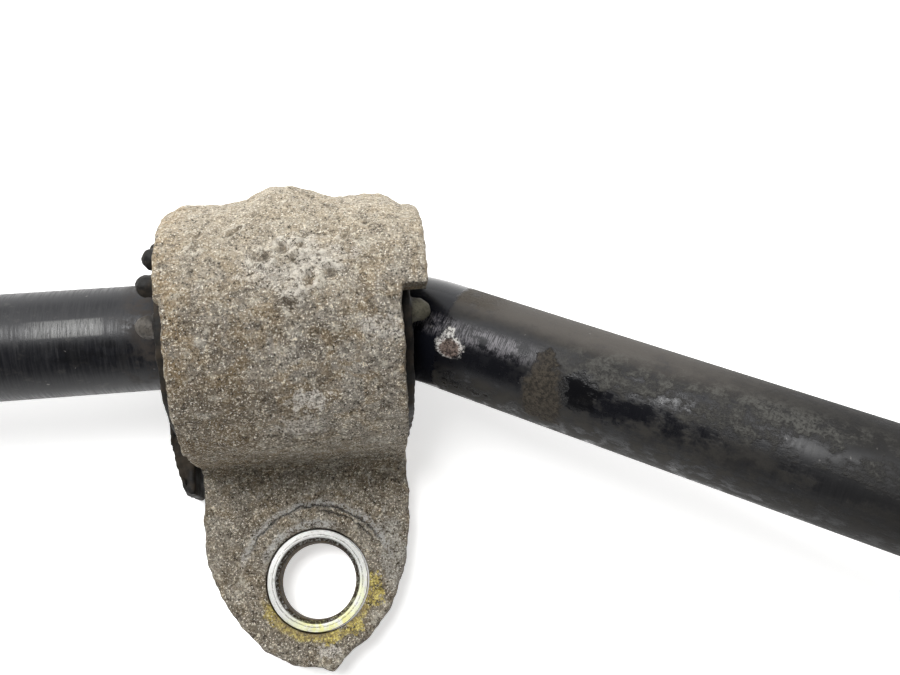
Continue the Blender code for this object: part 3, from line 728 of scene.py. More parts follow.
def sleeve_finish():
    """Zinc-plated steel with yellow passivation; bright on its face and brown inside the bore."""
    f = Finish("bolt_sleeve_zinc")
    x, y, z = f.parts(f.design)
    grain = f.noise(0.5, 4, 0.75)
    mid = f.noise(2.4, 4, 0.65)
    radius = f.length(f.scaled(f.design, (1, 1, 0)))
    turning = f.add("ShaderNodeTexWave", wave_type="RINGS", rings_direction="Z")
    f.put(turning.inputs["Vector"], f.design)
    turning.inputs["Scale"].default_value = 1.1
    turning.inputs["Distortion"].default_value = 0.8
    lines = turning.outputs["Fac"]
    face = f.fade(z, EAR_TOP - 0.62, EAR_TOP - 0.30)
    tint = f.times(f.fade(f.math("SUBTRACT", f.math("MULTIPLY", x, 0.45), y), 1.5, 8.0),
                   f.fade(mid, 0.32, 0.55))
    silver = f.mix(f.fade(lines, 0.2, 0.8), (0.50, 0.50, 0.48), (0.66, 0.66, 0.64))
    colour = f.mix(f.times(tint, 0.70), silver, (0.58, 0.60, 0.33))
    gold = f.times(f.fade(y, -5.0, -8.0), f.fade(f.away(x, 1.5), 6.5, 3), f.fade(mid, 0.40, 0.56))
    colour = f.laid(colour, (0.62, 0.58, 0.13), gold, 0.55)
    scored = f.times(f.fade(f.away(f.swayed(radius, mid, 0.5), 9.25), 0.14, 0.03), f.fade(grain, 0.40, 0.5))
    colour = f.laid(colour, (0.08, 0.075, 0.06), scored, 0.7)
    colour = f.laid(colour, (0.16, 0.145, 0.11), f.fade(grain, 0.58, 0.66), 0.6)
    rim = f.fade(radius, 8.75, 8.45)
    colour = f.laid(colour, (0.075, 0.058, 0.040), rim, f.fade(grain, 0.36, 0.52))
    inside = f.mix(f.fade(grain, 0.40, 0.60), (0.016, 0.011, 0.007), (0.150, 0.108, 0.064))
    inside = f.laid(inside, (0.22, 0.155, 0.055), f.fade(mid, 0.52, 0.66), 0.7)
    inside = f.laid(inside, (0.42, 0.37, 0.28), f.fade(grain, 0.60, 0.68), 0.7)
    colour = f.mix(face, inside, colour)
    rough = f.mix(face, grey(0.80), f.mix(f.fade(lines, 0.3, 0.7), grey(0.34), grey(0.48)))
    relief = f.bump(lines, 0.03)
    relief = f.bump(grain, 0.10, relief)
    metal = f.fade(face, 0, 1, 0.10, 0.85)
    return f.finish(Base_Color=colour, Roughness=rough, Metallic=metal, Normal=relief)


def rubber_finish(name, base, dusty, dusted, patches=()):
    """Aged rubber; patches are (centre, radius, colour) of thicker dust in the piece's own frame."""
    f = Finish(name, Specular_IOR_Level=0.22)
    grain = f.noise(0.5, 4, 0.7, f.design)
    mid = f.noise(3.2, 4, 0.6, f.design)
    colour = f.mix(f.times(f.fade(mid, 0.40, 0.66), dusted), base, dusty)
    colour = f.laid(colour, tuple(min(1, c * 2.2) for c in dusty), f.fade(grain, 0.60, 0.74), dusted * 0.8)
    for centre, radius, tint in patches:
        cover = f.spot(centre, radius, ragged=radius * 0.8, grain=mid)
        colour = f.laid(colour, tint, cover, f.fade(grain, 0.34, 0.56, 0.45, 0.95))
    relief = f.bump(mid, 0.12)
    relief = f.bump(grain, 0.10, relief)
    return f.finish(Base_Color=colour, Roughness=f.fade(mid, 0.35, 0.7, 0.50, 0.86), Normal=relief)


def steel_finish(name, light, dark, rough, turned_lines=True, metallic=1.0):
    """Turned or plated steel with fine lines round the axis and a little grime."""
    f = Finish(name, Metallic=metallic)
    lines = f.noise(1.0, 2, 0.6, f.scaled(f.design, (5.5, 0.12, 0.12) if turned_lines else grey(0.7)))
    mid = f.noise(3.5, 4, 0.62, f.design)
    grain = f.noise(0.5, 3, 0.6, f.design)
    colour = f.mix(f.fade(lines, 0.35, 0.7), light, tuple(0.82 * c for c in light))
    colour = f.laid(colour, dark, f.fade(mid, 0.54, 0.72), 0.75)
    colour = f.laid(colour, dark, f.fade(grain, 0.64, 0.76), 0.5)
    roughness = f.math("ADD", f.fade(mid, 0.4, 0.7, rough, rough + 0.2),
                       f.fade(lines, 0.3, 0.7, -0.05, 0.05))
    relief = f.bump(lines, 0.015)
    relief = f.bump(grain, 0.02, relief)
    return f.finish(Base_Color=colour, Roughness=roughness, Normal=relief)


def coated_finish():
    """Black e-coat on the forged link, with specks of dust and of rust."""
    f = Finish("link_coating_worn", Specular_IOR_Level=0.5)
    mid = f.noise(4.5, 4, 0.62)
    grain = f.noise(0.55, 4, 0.7)
    forge = f.noise(1.8, 3, 0.6)
    colour = f.mix(f.fade(mid, 0.4, 0.65), (0.016, 0.016, 0.018), (0.038, 0.036, 0.034))
    colour = f.laid(colour, (0.10, 0.092, 0.082), f.fade(grain, 0.60, 0.72), 0.55)
    rust = f.times(f.fade(f.noise(2.0, 4, 0.7), 0.64, 0.70), f.fade(grain, 0.4, 0.6))
    colour = f.laid(colour, (0.16, 0.075, 0.032), rust, 0.8)
    relief = f.bump(forge, 0.10)
    relief = f.bump(grain, 0.05, relief)
    return f.finish(Base_Color=colour, Roughness=f.fade(mid, 0.3, 0.7, 0.38, 0.62), Normal=relief)


def plastic_finish():
    f = Finish("seat_plastic_moulded", Roughness=0.45)
    mid = f.noise(3, 3, 0.6)
    colour = f.mix(f.fade(mid, 0.35, 0.7), (0.62, 0.60, 0.54), (0.74, 0.72, 0.66))
    return f.finish(Base_Color=colour, Normal=f.bump(f.noise(0.6, 2), 0.03))


# ---------------------------------------------------------------- bar


def unit(vector):
    return vector / np.linalg.norm(vector)


def bend(corner, before, after, radius, step):
    """Points and tangents round one bend, about step apart."""
    angle = math.acos(float(before @ after))
    inset = radius * math.tan(angle / 2)
    sideways = unit(after - before * float(before @ after))
    start = corner - inset * before
    count = max(4, int(radius * angle / step))
    found = []
    for k in range(count + 1):
        a = angle * k / count
        place = start + radius * (math.sin(a) * before + (1 - math.cos(a)) * sideways)
        found.append((place, math.cos(a) * before + math.sin(a) * sideways))
    return found


def straight(first, last, tangent, step):
    count = max(1, int(np.linalg.norm(last - first) / step))
    return [(first + (last - first) * k / count, tangent) for k in range(1, count)]


def bar_sections():
    """(place, tangent, half width, half height, rounding) from the middle to the right eye's tip."""
    along = np.array([1.0, 0, 0])
    leg = unit(LEG_DIRECTION)
    leg_start = BRACKET + (BEND_1_PAST_BRACKET, 0, 0)
    leg_end = leg_start + LEG_LENGTH * leg
    eye = LOWER_BALL - (EYE_TO_BALL, 0, 0)
    arm = unit(eye - leg_end)
    first_bend = bend(leg_start, along, leg, BEND_1_RADIUS, 1.2)
    second_bend = bend(leg_end, leg, arm, BEND_2_RADIUS, 2.0)
    flat_start = eye - (EYE_RADIUS + FLATTENING_LENGTH) * arm
    middle = np.array([0, BRACKET[1], BRACKET[2]])
    line = [(middle, along)] + straight(middle, first_bend[0][0], along, 3.0) + first_bend
    line += straight(first_bend[-1][0], second_bend[0][0], leg, 3.0) + second_bend
    line += straight(second_bend[-1][0], flat_start, arm, 3.0)
    sections = [(place, tangent, BAR_RADIUS, BAR_RADIUS, BAR_RADIUS) for place, tangent in line]
    for share in np.linspace(0, 1, 22):
        ease = share * share * (3 - 2 * share)
        sections.append((
            flat_start + share * FLATTENING_LENGTH * arm, arm,
            BAR_RADIUS + (EYE_HALF_THICKNESS - BAR_RADIUS) * ease,
            BAR_RADIUS + (EYE_RADIUS - BAR_RADIUS) * ease,
            BAR_RADIUS + (EYE_EDGE_ROUNDING - BAR_RADIUS) * ease,
        ))
    for degrees in np.linspace(0, 86, 26):
        place = eye + EYE_RADIUS * math.sin(math.radians(degrees)) * arm
        height = EYE_RADIUS * math.cos(math.radians(degrees))
        trim = 1 - 0.35 * max(0, (degrees - 60) / 26) ** 2
        sections.append((place, arm, EYE_HALF_THICKNESS * trim, height, EYE_EDGE_ROUNDING))
    start = eye - EYE_RADIUS * arm
    for share in np.linspace(0.05, 0.95, 9):
        sections.insert(-26, (start + share * EYE_RADIUS * arm, arm, EYE_HALF_THICKNESS, EYE_RADIUS,
                              EYE_EDGE_ROUNDING))
    return sections


def bar_shape(sides=96):
    """Points, faces, and each point's place on the bar as if it were straight."""
    sections = bar_sections()
    places = np.array([section[0] for section in sections])
    lengths = np.concatenate([[0], np.cumsum(np.linalg.norm(np.diff(places, axis=0), axis=1))])
    distance = lengths - np.interp(BRACKET[0], places[:, 0], lengths)
    thin = np.array([1.0, 0, 0])
    rings, designs = [], []
    angles = 2 * np.pi * (np.arange(sides) + 0.5) / sides
    for (place, tangent, half, height, rounding), run in reversed(list(zip(sections, distance))):
        thin = unit(thin - tangent * float(thin @ tangent))
        tall = np.cross(tangent, thin)
        across = rounding * np.cos(angles)
        soft = min(0.8, max(0.05, (rounding - half) * 0.4))
        over = np.abs(across) - half
        eased = soft * (np.tanh(np.maximum(0, over) / soft) - 1)
        flattened = (half < rounding - 0.01) * np.exp(-np.abs(np.minimum(0, over)) / soft)
        across = np.sign(across) * (half + np.minimum(0, over) + eased * flattened)
        offsets = np.outer(across, thin) + np.outer(height * np.sin(angles), tall)
        up = unit(np.array([0, 0, 1.0]) - tangent * tangent[2])
        rear = np.cross(up, tangent)
        rings.append(place + offsets)
        designs.append(np.stack([np.full(sides, run), offsets @ rear, offsets @ up], axis=1))
    mirror = np.array([-1.0, 1, 1])
    rings += [ring * mirror for ring in reversed(rings[:-1])]
    for k in range(len(rings) - len(designs)):
        designs.append(designs[len(sections) - 2 - k])
    points = np.concatenate(rings)
    faces = []
    for ring in range(len(rings) - 1):
        base = ring * sides
        for i in range(sides):
            j = (i + 1) % sides
            faces.append((base + i, base + sides + i, base + sides + j, base + j))
    last = (len(rings) - 1) * sides
    faces.append(tuple(range(sides)))
    faces.append(tuple(range(last + sides - 1, last - 1, -1)))
    return points, faces, np.concatenate(designs)


def build_bar(finish):
    points, faces, design = bar_shape()
    mesh = as_bmesh(points, faces)
    bmesh.ops.recalc_face_normals(mesh, faces=mesh.faces)
    eye = LOWER_BALL - (EYE_TO_BALL, 0, 0)
    reach = EYE_DRILL_REACH
    cuts = []
    for side in (1, -1):
        drill = lathe([(-reach, 0), (-reach, EYE_HOLE_RADIUS), (reach, EYE_HOLE_RADIUS), (reach, 0)], 48)
        cuts.append(("DIFFERENCE", moved(drill, Matrix.Translation((side * eye[0], eye[1], eye[2])))))
    drilled_points, drilled_faces = plain(combined(mesh, cuts))
    # the Boolean renumbers the points, so each takes the design place of the nearest old one
    tree = KDTree(len(points))
    for index, place in enumerate(points):
        tree.insert(place, index)
    tree.balance()
    nearby = [design[tree.find(place)[1]] for place in drilled_points]
    made = piece("bar_skin", (drilled_points, drilled_faces), finish, np.zeros(3), sharp=50,
                 extra=np.array(nearby))
    settle(made, "bar", "black_paint", "sway_bar")


# ---------------------------------------------------------------- bracket, sleeve and bushing


def bracket_shape(seed):
    base = -BRACKET[2]
    trim, sliver = 3.0, 0.05
    fillet = (-DOME_RADIUS - EAR_FILLET, EAR_TOP - sliver + EAR_FILLET)
    saddle = [(DOME_RADIUS, base - trim)] + arc((0, 0), DOME_RADIUS, 0, 180, 48)
    saddle += arc(fillet, EAR_FILLET, 0, -90, 10)
    saddle += [(-35, EAR_TOP - sliver), (-35, base - trim)]
    inner = DOME_RADIUS - sliver
    lip = [(0, base - 0.9 * trim), (inner, base - 0.9 * trim)] + arc((0, 0), inner, 0, 90, 24)
    tongue = [(-17, 22), (17, 22), (13, 32), (9, TONGUE_REACH), (-9, TONGUE_REACH), (-13, 32)]
    ear = [(-20.2, -30)] + EAR_OUTLINE + [(20.2, -30)]
    reach = 60
    cavity = arc((0, 0), CAVITY_RADIUS, 0, 180, 40)
    cavity += [(-CAVITY_RADIUS, base - 2 * trim), (CAVITY_RADIUS, base - 2 * trim)]
    hole = lathe([(-reach, 0), (-reach, SEAT_RADIUS), (reach, SEAT_RADIUS), (reach, 0)], 64)
    moved(hole, Matrix.Translation((BOLT_X, BOLT_Y, 0)) @ Matrix.Rotation(math.pi / 2, 4, "Y"))
    far = 100
    below = prism([(-far, -far), (far, -far), (far, far), (-far, far)], base - far, base, "Z")
    solid = combined(
        prism(saddle, -FRONT_HALF_WIDTH, FRONT_HALF_WIDTH, "X"),
        [
            ("UNION", prism(lip, REAR_INBOARD, REAR_INBOARD + 3, "X")),
            ("UNION", prism(lip, REAR_OUTBOARD - 8, REAR_OUTBOARD, "X")),
            ("UNION", prism(tongue, base - 0.7 * trim, base + 7, "Z")),
            ("UNION", prism(ear, base - 0.6 * trim, EAR_TOP, "Z")),
            ("DIFFERENCE", prism(cavity, -reach, reach, "X")),
            ("DIFFERENCE", hole),
            ("DIFFERENCE", below),
        ],
    )
    points, faces = remeshed(solid, CAST_VOXEL)
    original = points.copy()
    points = relaxed(points, faces, 6)
    normal = normals_of(points, faces)
    x, y, z = points.T
    radius = np.hypot(y, z)
    outward = np.stack([0 * x, y / radius, z / radius], axis=1)
    facing = (normal * outward).sum(1)
    bolt = np.hypot(x - BOLT_X, y - BOLT_Y)
    near_cavity = CAVITY_RADIUS + 0.9
    inside = (np.hypot(y, np.maximum(z, 0)) < near_cavity) & (np.abs(y) < near_cavity)
    inside &= np.abs(normal[:, 0]) < 0.6
    held = inside | ((bolt < SEAT_RADIUS + 1.0) & (np.abs(normal[:, 2]) < 0.7)) | (z < base + 0.3)
    points[held] = original[held]
    free = np.where(held, 0.0, 1.0)
    free *= np.clip((bolt - SEAT_RADIUS - 0.5) / 2, 0.15, 1)
    crest = np.degrees(np.arctan2(y, z))
    lean = np.sin(np.radians(np.clip(crest, 0, 90))) ** 2
    outer = (radius > 22.6) & (facing > -0.2) & (y > -2) & (y < 27)
    swell = np.interp(x, SWELL_X, SWELL) * lean * outer * free
    swell[z < base + 9] *= 0.6
    points += outward * swell[:, None]
    lumps = 0.34 * waviness(points, 6.5, seed) + 0.20 * waviness(points, 2.4, seed + 1)
    lumps += 0.16 * waviness(points, 1.1, seed + 2)
    pits = np.zeros(len(points))
    warped = points + 0.9 * np.stack([waviness(points, 1.6, seed + 10 + k) for k in range(3)], axis=1)
    for px, degrees, size, depth in PITS:
        centre = np.array([px, 26.0 * math.sin(math.radians(degrees)),
                           26.0 * math.cos(math.radians(degrees))])
        apart = np.linalg.norm((warped - centre) * (1.25, 1.0, 0.8), axis=1) / size
        pits += 1.9 * depth * (np.exp(-apart ** 2) - 0.42 * np.exp(-((apart - 1.7) / 0.6) ** 2))
    lumps -= pits
    pocks = np.clip(waviness(points, 1.5, seed + 3) - 0.74, 0, 1) * 1.3
    groove = np.exp(-((bolt - 15.4) / 0.6) ** 2) * (y > BOLT_Y + 6) * (z < EAR_TOP + 1) * 0.22
    points += normal * ((lumps - pocks - groove) * free)[:, None]
    points[:, 1] = np.minimum(points[:, 1], TONGUE_REACH - 0.05)
    points[:, 2] = np.maximum(points[:, 2], base + 0.02)
    # painted shade, with some rust: side faces of the ear, the notch beside the lip and both ends are darker
    # by which way they face
    rim = 0.75 * ((np.abs(normal[:, 2]) < 0.62) & (y < -27))
    notch = 0.85 * ((normal[:, 1] < -0.5) & (x > 18) & (z > 0) & (y > -8))
    ends = 0.35 * (np.abs(normal[:, 0]) > 0.75)
    # the value: pits and pocks darker (grime and painted shade), raised lumps lighter (painted highlight),
    # plus the painted shade above
    return points, faces, pits + 1.4 * pocks - 0.5 * lumps + rim + notch + ends


def sleeve_shape():
    low, high = -BRACKET[2] + 0.02, EAR_TOP + 0.28
    profile = rounded([(low, 7.85), (low, 10.3), (high, 10.3), (high, 8.75), (high - 0.85, 7.85)], 0.22, 3)
    turn = Matrix.Rotation(-math.pi / 2, 4, "Y")
    return plain(moved(lathe(profile, 96), turn))


def bushing_shape(seed):
    base = -BRACKET[2] + 0.35
    inboard, outboard, outer = -23.3, 22.9, CAVITY_RADIUS - 0.35
    outline = arc((0, 0), outer, 0, 180, 40) + [(-outer, base), (outer, base)]
    skirt = [(inboard + 1, -30), (inboard - 1.2, -30), (inboard - 4.0, -19), (inboard - 4.1, 17),
             (inboard + 1, 17)]
    bore = lathe([(inboard - 9, 0), (inboard - 9, 12.0), (inboard, 12.0), (inboard + 3, 10.8), (10.5, 10.8),
                  (outboard, 13.9), (outboard + 9, 13.9), (outboard + 9, 0)], 64)
    slit = prism([(-0.4, 0), (-0.4, -60), (0.4, -60), (0.4, 0)], -60, 60, "X")
    parts = [("UNION", prism(skirt, base, -14, "Z"))]
    for degrees in (-9, 19, 47, 75):
        for face, outward in ((inboard, -1), (outboard, 1)):
            dome = [(1.5 + 2.25 * math.sin(a), 2.3 * math.cos(a)) for a in np.radians(np.arange(0, 90, 9))]
            nub = lathe([(-1, 0), (-1, 2.3)] + dome + [(3.75, 0)], 32)
            angle = math.radians(degrees)
            turn = Matrix.Rotation(math.pi, 4, "Z") if outward < 0 else Matrix.Identity(4)
            spot = Matrix.Translation((face, 16.6 * math.sin(angle), 16.6 * math.cos(angle)))
            parts.append(("UNION", moved(nub, spot @ turn)))
    solid = combined(prism(outline, inboard, outboard, "X"),
                     parts + [("DIFFERENCE", bore), ("DIFFERENCE", slit)])
    points, faces = remeshed(solid, RUBBER_VOXEL)
    smooth = relaxed(points, faces, 2)
    normal = normals_of(smooth, faces)
    x, y, z = points.T
    showing = (x < inboard + 0.5) | (x > outboard - 0.5)
    ragged = 0.16 * waviness(points, 2.2, seed) + 0.12 * waviness(points, 0.9, seed + 1)
    on_skirt = (z < -13) & (x < inboard - 0.4)
    torn = 1.1 * np.clip(waviness(points, 1.5, seed + 2), 0, 1)
    torn = (torn + 0.5 * np.clip(waviness(points, 0.8, seed + 3), 0, 1)) * on_skirt
    offset = np.where(showing, ragged - torn - 0.1, -0.05)
    points = smooth + normal * offset[:, None]
    points[:, 2] = np.maximum(points[:, 2], base - 0.1)
    return points, faces


# ---------------------------------------------------------------- end link


def cup_profile():
    return rounded([(-13, 16.6), (-12.2, 17.42), (4, 17.42), (5, 14), (8.45, 14), (8.45, 9.65), (6.9, 9.65),
                    (6.9, 13.0), (-10, 13.0), (-10, 14.5), (-13, 14.5)], 0.5, 3)


def link_shape(seed):
    """Both forged housings and the rod; the lower ball's centre is the origin."""
    half_turn = Matrix.Rotation(math.pi, 4, "Z")
    lower = moved(lathe(cup_profile(), 64), half_turn)
    upper = moved(lathe(cup_profile(), 64), Matrix.Translation((0, LINK_LENGTH, 0)))
    offset = -4.5
    span = Vector((2 * offset, LINK_LENGTH, 0))
    end = span.length
    rod = rounded([(15.3, 0), (15.3, 7.6), (19.5, 7.0), (27, 5), (end - 27, 5), (end - 19.5, 7.0),
                   (end - 15.3, 7.6),
                   (end - 15.3, 0)], 3.0, 5)
    lean = span.to_track_quat("X", "Z").to_matrix().to_4x4()
    rod = moved(lathe(rod, 40), Matrix.Translation((-offset, 0, 0)) @ lean)
    points, faces = remeshed(joined([lower, rod, upper]), FORGED_VOXEL)
    points = relaxed(points, faces, 3)
    normal = normals_of(points, faces)
    inside = np.zeros(len(points), bool)
    for centre in (0, LINK_LENGTH):
        inside |= np.hypot(points[:, 1] - centre, points[:, 2]) < 15.0
    forged = 0.10 * waviness(points, 4.0, seed) + 0.04 * waviness(points, 1.6, seed + 1) - 0.10
    points = points + normal * np.where(inside, -0.02, forged)[:, None]
    return points, faces


def stud_shape():
    """Ball, neck, flange and a rolled thread cut as a helix."""
    swing = np.radians(np.linspace(-84, 53, 26))
    profile = [(-BALL_RADIUS, 0)] + [(BALL_RADIUS * math.sin(a), BALL_RADIUS * math.cos(a)) for a in swing]
    body = rounded([(math.sqrt(BALL_RADIUS ** 2 - NECK_RADIUS ** 2), NECK_RADIUS), (13, NECK_RADIUS),
                    (17, 6.2),
                    (21.3, 6.2), (21.3, FLANGE_RADIUS), (FLANGE_TOP, FLANGE_RADIUS), (FLANGE_TOP, 5.9),
                    (THREAD_START, 5.2)], 0.5, 3)
    profile += body[4:-4]
    sides = 48
    mesh = bmesh.new()
    rings = [ring_about_x(mesh, x, radius, sides) for x, radius in profile]
    for x in np.arange(THREAD_START, THREAD_END - 0.05, THREAD_PITCH / 9):
        ring = []
        fade = min(1, (x - THREAD_START) / THREAD_PITCH, (THREAD_END - x) / 1.0)
        crown = min(THREAD_RADIUS, THREAD_RADIUS - 1.1 * (1 - min(1, (THREAD_END - x) / 1.4)))
        for k in range(sides):
            angle = 2 * math.pi * k / sides
            phase = (x / THREAD_PITCH - k / sides) % 1
            wave = min(1, max(0, 1.25 * abs(2 * phase - 1) - 0.1))
            radius = crown - THREAD_DEPTH * (1 - wave) * max(0, fade)
            ring.append(mesh.verts.new((x, radius * math.cos(angle), radius * math.sin(angle))))
        rings.append(ring)
    rings.append(ring_about_x(mesh, THREAD_END, 4.5, sides))
    rings.append(ring_about_x(mesh, THREAD_END, 0, sides))
    return plain(skinned(mesh, zip(rings, rings[1:])))


def cap_shape():
    return plain(lathe(rounded([(-12.0, 0), (-12.3, 11.2), (-12.75, 12.6), (-12.75, 14.15), (-10.35, 14.15),
                                (-10.35, 0)], 0.4, 4), 72))


def boot_shape():
    """A rubber boot with two pleats between its clipped ends."""
    outside = [(5.35, 15.55), (8.6, 15.55), (9.4, 16.3), (11.2, 16.5), (12.9, 15.9), (13.8, 14.4),
               (15.0, 13.7), (16.2, 12.6),
               (16.9, 10.6), (18.2, 9.0), (20.95, 9.0)]
    inside = [(20.95, 6.7), (17.7, 6.9), (16.2, 9.2), (15.2, 11.2), (13.9, 12.4), (12.6, 14.0),
              (11.0, 14.9), (9.2, 14.5), (5.35, 14.4)]
    return plain(lathe(rounded(outside + inside, 0.7, 4), 72))


def coil_shape(low, high, orbit, wire, turns):
    """A spring clip of round wire, wound like a garter."""
    angles = np.linspace(0, 2 * math.pi * turns, int(64 * turns))
    path = np.stack([np.linspace(low, high, len(angles)), orbit * np.cos(angles), orbit * np.sin(angles)],
                    axis=1)
    return plain(tube(path, wire, 12))


def nut_shape():
    height, corner = 11.0, 18 / math.sqrt(3)
    hexagon = [(corner * math.cos(math.radians(a)), corner * math.sin(math.radians(a))) for a in range(0,
                                                                                                       360,
                                                                                                       60)]
    blank = lathe([(0.5, 0), (0.5, 30), (height - 1.5, corner + 0.9), (height, corner - 1.5), (height, 0)],
                  72)
    flange = lathe(rounded([(0, 0), (0, 12.4), (1.5, 12.4), (3.6, 9.4), (3.6, 0)], 0.35, 4), 96)
    bore = lathe([(-1, 0), (-1, 7.2), (0.6, 6.3), (height - 0.7, 6.3), (height + 0.4, 7.3),
                  (height + 1, 0)], 64)
    return evaluated(prism(hexagon, 0.5, height, "X"), [
        boolean("INTERSECT", blank),
        boolean("UNION", flange),
        boolean("DIFFERENCE", bore),
        ("BEVEL", {"width": 0.22, "segments": 2, "limit_method": "ANGLE", "angle_limit": math.radians(32)}),
    ])


def turned_about(shape, matrix):
    points, faces = shape
    rotation = np.array(matrix)[:3, :3]
    shift = np.array(matrix)[:3, 3]
    return points @ rotation.T + shift, faces


# ---------------------------------------------------------------- assembly


def build_brackets(cast, zinc, rubber):
    for side, name in SIDES:
        body = f"bracket_{name}_body"
        seed = 11 if side > 0 else 37
        settle(piece(f"bracket_{name}_casting", bracket_shape(seed), cast, BRACKET, side), body,
               "cast_aluminium", f"bracket_{name}")
        shape = sleeve_shape()
        made = piece(f"bolt_sleeve_{name}_turned", shape, zinc, BRACKET + (BOLT_X, BOLT_Y, 0), side,
                     sharp=40)
        settle(made, body, "zinc_steel", f"bolt_sleeve_{name}")
        settle(piece(f"bushing_{name}_rubber", bushing_shape(seed + 5), rubber, BRACKET, side), body,
               "bushing_rubber", f"bushing_{name}")


def build_links(coated, steel, wire, zinc, boot_rubber, plastic):
    half_turn = Matrix.Rotation(math.pi, 4, "Z")
    shapes = {"stud": stud_shape(), "cap": cap_shape(), "boot": boot_shape(), "nut": nut_shape()}
    shapes["large"] = coil_shape(6.15, 7.5, 16.2, 0.33, 3)
    shapes["small"] = coil_shape(19.0, 20.3, 9.62, 0.30, 3)
    clamped = FLANGE_TOP + 2 * EYE_HALF_THICKNESS + CLAMPED_NUT_GAP
    loose = FLANGE_TOP + LOOSE_NUT_GAP
    for side, name in SIDES:
        link = f"link_{name}_body"
        forging = piece(f"link_{name}_forging", link_shape(5 if side > 0 else 23), coated, LOWER_BALL, side)
        settle(forging, link, "coated_steel", f"link_rod_{name}")
        for end, ball, turn, stud_body, nut_at in (
            ("lower", LOWER_BALL, half_turn, "bar", clamped),
            ("upper", UPPER_BALL, Matrix.Identity(4), f"upper_stud_{name}_body", loose),
        ):
            boot_body = f"{end}_boot_{name}_body"

            def put(what, label, finish, sharp=None, shift=0.0):
                matrix = turn @ Matrix.Translation((shift, 0, 0))
                placed = turned_about(shapes[what], matrix)
                return piece(f"{end}_{label}_{name}", placed, finish, ball, side, sharp=sharp,
                             extra=shapes[what][0])

            settle(put("stud", "stud_turned", steel, 45), stud_body, "bright_steel",
                   f"{end}_ball_stud_{name}")
            settle(put("nut", "nut_plated", zinc, 35, nut_at), stud_body, "zinc_steel",
                   f"{end}_flange_nut_{name}")
            settle(put("cap", "cap_pressed", coated, 50), link, "coated_steel", f"{end}_housing_cap_{name}")
            settle(put("large", "boot_large_spring", wire), link, "bright_steel",
                   f"{end}_boot_large_clip_{name}")
            settle(put("small", "boot_small_spring", wire), boot_body, "bright_steel",
                   f"{end}_boot_small_clip_{name}")
            boot = put("boot", "boot_pleated", boot_rubber)
            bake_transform(boot)
            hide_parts(f"{end}_boot_{name}")
            seat = frame["nodes"][f"{end}_ball_seat_{name}"]
            seat.data.materials.clear()
            seat.data.materials.append(plastic)


def build_stage():
    data = bpy.data.meshes.new("floor")
    size = FLOOR_HALF_SIZE
    data.from_pydata([(-size, -size, 0), (size, -size, 0), (size, size, 0), (-size, size, 0)], [],
                     [(0, 1, 2, 3)])
    floor = linked("floor", data)
    f = Finish("floor_white", Specular_IOR_Level=0.2)
    colour = f.mix(f.noise(900, 2), (0.90, 0.90, 0.895), (0.92, 0.92, 0.915))
    f.shader.inputs["Emission Color"].default_value = (1, 0.995, 0.99, 1)
    f.shader.inputs["Emission Strength"].default_value = FLOOR_GLOW
    data.materials.append(f.finish(Base_Color=colour,
                                   Roughness=f.fade(f.noise(300, 2), 0.3, 0.7, 0.6, 0.7)))


def area_light(name, place, aim, size, watts, colour=(1, 1, 1)):
    data = bpy.data.lights.new(name, "AREA")
    data.shape = "RECTANGLE"
    data.size, data.size_y = size
    data.energy = watts
    data.color = colour
    made = linked(name, data)
    made.location = place
    made.rotation_mode = "QUATERNION"
    made.rotation_quaternion = (Vector(aim) - Vector(place)).to_track_quat("-Z", "Y")


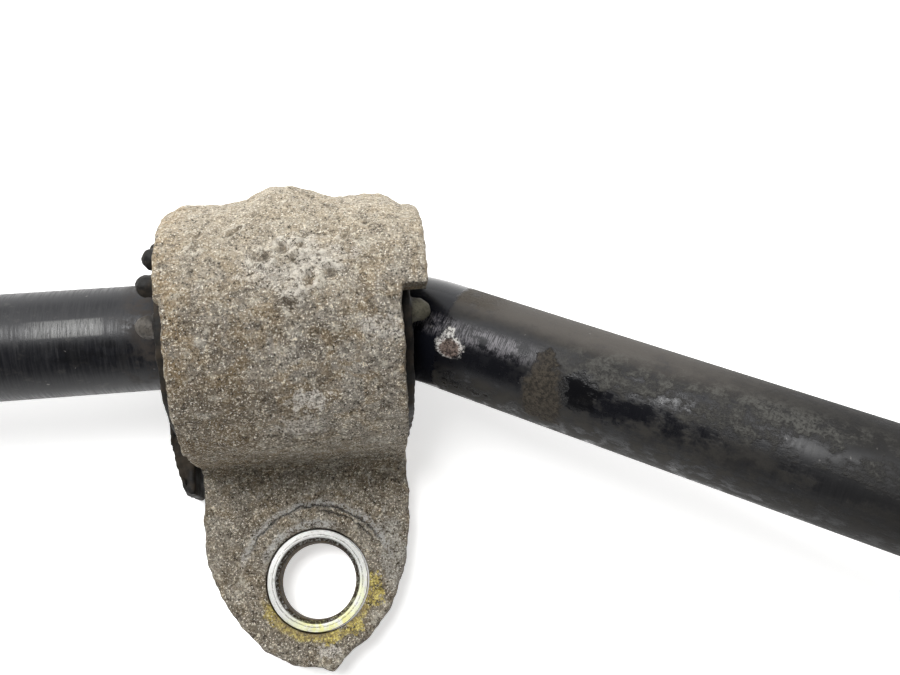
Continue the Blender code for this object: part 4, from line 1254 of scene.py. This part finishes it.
def build_light():
    """Bright room: pale walls towards the rear, a darker ceiling towards the front, one soft box."""
    world = bpy.data.worlds.new("room")
    bpy.context.scene.world = world
    world.use_nodes = True
    tree = world.node_tree
    tree.nodes.clear()
    output = tree.nodes.new("ShaderNodeOutputWorld")
    background = tree.nodes.new("ShaderNodeBackground")
    tree.links.new(background.outputs[0], output.inputs[0])
    coordinates = tree.nodes.new("ShaderNodeTexCoord")
    split = tree.nodes.new("ShaderNodeSeparateXYZ")
    tree.links.new(coordinates.outputs["Generated"], split.inputs[0])

    def level(axis, low, high, start, end):
        node = tree.nodes.new("ShaderNodeMapRange")
        node.interpolation_type = "SMOOTHSTEP"
        for name, value in (("From Min", low), ("From Max", high), ("To Min", start), ("To Max", end)):
            node.inputs[name].default_value = value
        tree.links.new(split.outputs[axis], node.inputs["Value"])
        return node.outputs[0]

    total = tree.nodes.new("ShaderNodeMath")
    total.operation = "ADD"
    tree.links.new(level("Y", 0.15, 0.80, CEILING_LEVEL, WALL_LEVEL), total.inputs[0])
    tree.links.new(level("Z", 0.02, 0.26, HORIZON_LEVEL, 0.0), total.inputs[1])
    tree.links.new(total.outputs[0], background.inputs["Strength"])
    spot = Vector(BRACKET * MM)
    area_light("soft_box", spot + SOFT_BOX_DISTANCE * SOFT_BOX_DIRECTION, spot, SOFT_BOX_SIZE,
               SOFT_BOX_WATTS)
    area_light("fill", spot + FILL_OFFSET, spot, FILL_SIZE, FILL_WATTS)


def build_camera():
    """The photograph's viewpoint: close above the right-hand bracket, looking down and a little rearwards."""
    right = Vector((0.99247, -0.09294, 0.07975))
    down = Vector((-0.07001, -0.96488, -0.25319))
    forward = Vector((0.10048, 0.24570, -0.96412))
    data = bpy.data.cameras.new("camera")
    data.sensor_width = SENSOR_WIDTH
    data.lens = CAMERA_LENS
    data.clip_start = 0.005
    data.clip_end = 50
    camera = linked("camera", data)
    place = Vector((BRACKET + CAMERA_FROM_BRACKET) * MM)
    rotation = Matrix((right, -down, -forward)).transposed()
    camera.matrix_world = Matrix.Translation(place) @ rotation.to_4x4()
    bpy.context.scene.camera = camera


def main():
    build_camera()
    build_light()
    build_stage()
    zinc = steel_finish("nut_plating", (0.62, 0.60, 0.50), (0.22, 0.17, 0.09), 0.34, False)
    steel = steel_finish("stud_steel", grey(0.56), (0.20, 0.18, 0.15), 0.26)
    wire = steel_finish("spring_wire", (0.42, 0.42, 0.43), (0.14, 0.12, 0.10), 0.32, False)
    nub_dust = [((-25.5, -3.4, 16.2), 3.0, (0.100, 0.090, 0.078)),
                ((25.5, -3.4, 16.2), 3.6, (0.098, 0.092, 0.066))]
    bushing_rubber = rubber_finish("bushing_rubber_aged", (0.0085, 0.0078, 0.0070), (0.046, 0.036, 0.026),
                                   0.75, nub_dust)
    build_bar(paint_finish())
    build_brackets(cast_finish(), sleeve_finish(), bushing_rubber)
    coated = coated_finish()
    boot_rubber = rubber_finish("boot_rubber_aged", grey(0.012), (0.036, 0.034, 0.031), 0.6)
    build_links(coated, steel, wire, zinc, boot_rubber, plastic_finish())
    bpy.context.scene.view_settings.view_transform = "Standard"
    bpy.context.scene.view_settings.look = "None"


main()
